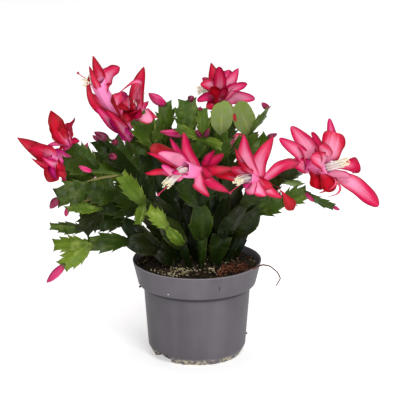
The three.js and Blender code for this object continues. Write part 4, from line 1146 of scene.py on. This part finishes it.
# Two crumbs stick to the outside of the pot.
STUCK_CRUMBS, STUCK_SIZE = [(-52.6, -10, 66.8), (46.2, -1, 17.7)], 1.3
crumbs = Skins()
for _ in range(CRUMBS):
    place = on_soil(draw.uniform(0.1, 0.985**2) ** 0.5, draw.uniform(0, 2 * np.pi), 0.2)
    lump(crumbs, place, draw.uniform(0.5, 1.5), draw.uniform() ** 3)
for stuck in STUCK_CRUMBS:
    lump(crumbs, np.array(stuck), STUCK_SIZE, 0.0)
crumbs.piece("peat_crumbs", crumb_finish, "soil")

# Pale bits lie in patches: a count, a middle and a spread.
PALE_PATCHES = [(190, (-16, -24), (9, 5)), (60, (15, -20), (5, 4)), (90, (0, 0), (34, 34))]
pale = Skins()
for count, (x, y), spread in PALE_PATCHES:
    for x, y in [x, y] + draw.normal(0, 1, (count, 2)) * spread:
        share = min(0.97, np.hypot(x, y) / SOIL_RADIUS)
        lump(pale, on_soil(share, np.arctan2(y, x), 0.7), draw.uniform(0.25, 0.9), draw.uniform())
pale.piece("pale_bits", pale_finish, "soil")


def fibre(skins, start, bend, end, thickness, tone):
    """A thin strand on a bent line, with a slight shake at each ring."""
    places, ways = bent_line(start, bend, end, np.linspace(0, 1, 14))
    places = places + draw.normal(0, 0.14, places.shape)
    skins.add(round_skin(places, ways, np.linspace(thickness, thickness * 0.6, 14), 5), tone=tone)


FIBRES = 90
fibres = Skins()
for _ in range(FIBRES):
    angle, share = draw.uniform(0, 2 * np.pi), draw.uniform(0.2, 0.95) ** 0.6
    start = on_soil(share, angle, 0.4)
    end = on_soil(np.clip(share + draw.normal(0, 0.12), 0.1, 0.96), angle + draw.normal(0, 0.18), 0.6)
    middle = (start + end) / 2 + draw.normal(0, 2, 3) * [1, 1, 0.5]
    fibre(fibres, start, middle, end, 0.2, draw.uniform())
fibres.piece("peat_fibres", fibre_finish, "soil")

# %% [markdown]
# A mat of dry, reddish roots lies at the front right, and one long strand has slipped out over the
# rim and hangs in a bow beside the pot. Its line runs through a few places, and averaging each point
# with its neighbours rounds the line off.

# %% Lay the dry roots
ROOTS, ROOT_START, ROOT_END = 30, np.radians(-62), np.radians(-8)
roots = Skins()
for _ in range(ROOTS):
    first, last = draw.uniform(ROOT_START, ROOT_END, 2)
    start = on_soil(draw.uniform(0.5, 0.95), first, 0.6)
    end = on_soil(draw.uniform(0.55, 0.95), last, 0.8)
    middle = on_soil(draw.uniform(0.35, 1.0), (first + last) / 2 + draw.normal(0, 0.3), draw.uniform(1, 9))
    fibre(roots, start, middle, end, draw.uniform(0.35, 0.7), draw.uniform(-0.4, 1.1))
STRAND = np.array([(38, -38, 87.5), (50, -30, 90.5), (60, -26, 93.5), (67, -21, 90.6), (74, -19, 84),
                   (77, -22, 78.9), (72.5, -27, 72.9)])
STRAND_RINGS, SMOOTHINGS = 60, 6
rows = np.linspace(0, len(STRAND) - 1, STRAND_RINGS)
line = np.stack([through(rows, np.arange(len(STRAND)), values) for values in STRAND.T], -1)
for _ in range(SMOOTHINGS):
    padded = np.concatenate([line[:1], line, line[-1:]])
    line = (padded[:-2] + padded[1:-1] + padded[2:]) / 3
strand_radii = np.linspace(0.8, 0.5, STRAND_RINGS)
roots.add(round_skin(line, unit(np.gradient(line, axis=0)), strand_radii, 6), tone=0.45)
roots.piece("dry_roots", fibre_finish, "soil")

# %% [markdown]
# ## Floor and light
# A pale floor, which glows a little so that it stays white, under three soft boxes: one high in
# front to the right, a small low one farther off in front that fills the shadows among the leaves,
# and the largest one from above. The white world round them is dim.

# %% Set the stage
def paint_floor(w):
    cloud = w.noise(w.position(), 3.0, 2.0)
    return {"Base_Color": cloud.mix(dye("F7F7F7"), dye("FBFBFB")), "Roughness": 0.8 + cloud * 0.1}


WHITE = (1, 1, 1, 1)
FLOOR_HALF = 20.0
corners = [(x * FLOOR_HALF, y * FLOOR_HALF, 0) for x, y in [(-1, -1), (1, -1), (1, 1), (-1, 1)]]
floor_mesh = bpy.data.meshes.new("floor")
floor_mesh.from_pydata(corners, [], [(0, 1, 2, 3)])
floor_mesh.materials.append(finish("floor_paint", paint_floor, Emission_Color=WHITE, Emission_Strength=0.46))
into_scene("floor", floor_mesh)


def soft_box(name, place, size, watts):
    """An area light that looks at the point the camera aims at."""
    lamp = bpy.data.lights.new(name, "AREA")
    lamp.energy, lamp.size = watts, size
    box = into_scene(name, lamp)
    box.location = place
    x, y, z = np.array(place) - AIM
    box.rotation_euler = (np.arctan2(np.hypot(x, y), z), 0, np.arctan2(y, x) + np.pi / 2)


soft_box("key_light", (0.6, -1.9, 2.2), 1.0, 39)
soft_box("front_light", (0.4, -3.7, 0.75), 0.7, 46)
soft_box("top_light", (0.0, 0.4, 2.6), 1.6, 38)
world = bpy.data.worlds.new("studio")
world.use_nodes = True
background = world.node_tree.nodes["Background"]
background.inputs["Color"].default_value = WHITE
background.inputs["Strength"].default_value = 0.08
bpy.context.scene.world = world
bpy.context.scene.view_settings.view_transform = "Standard"
bpy.context.scene.view_settings.look = "None"
print("stage set")
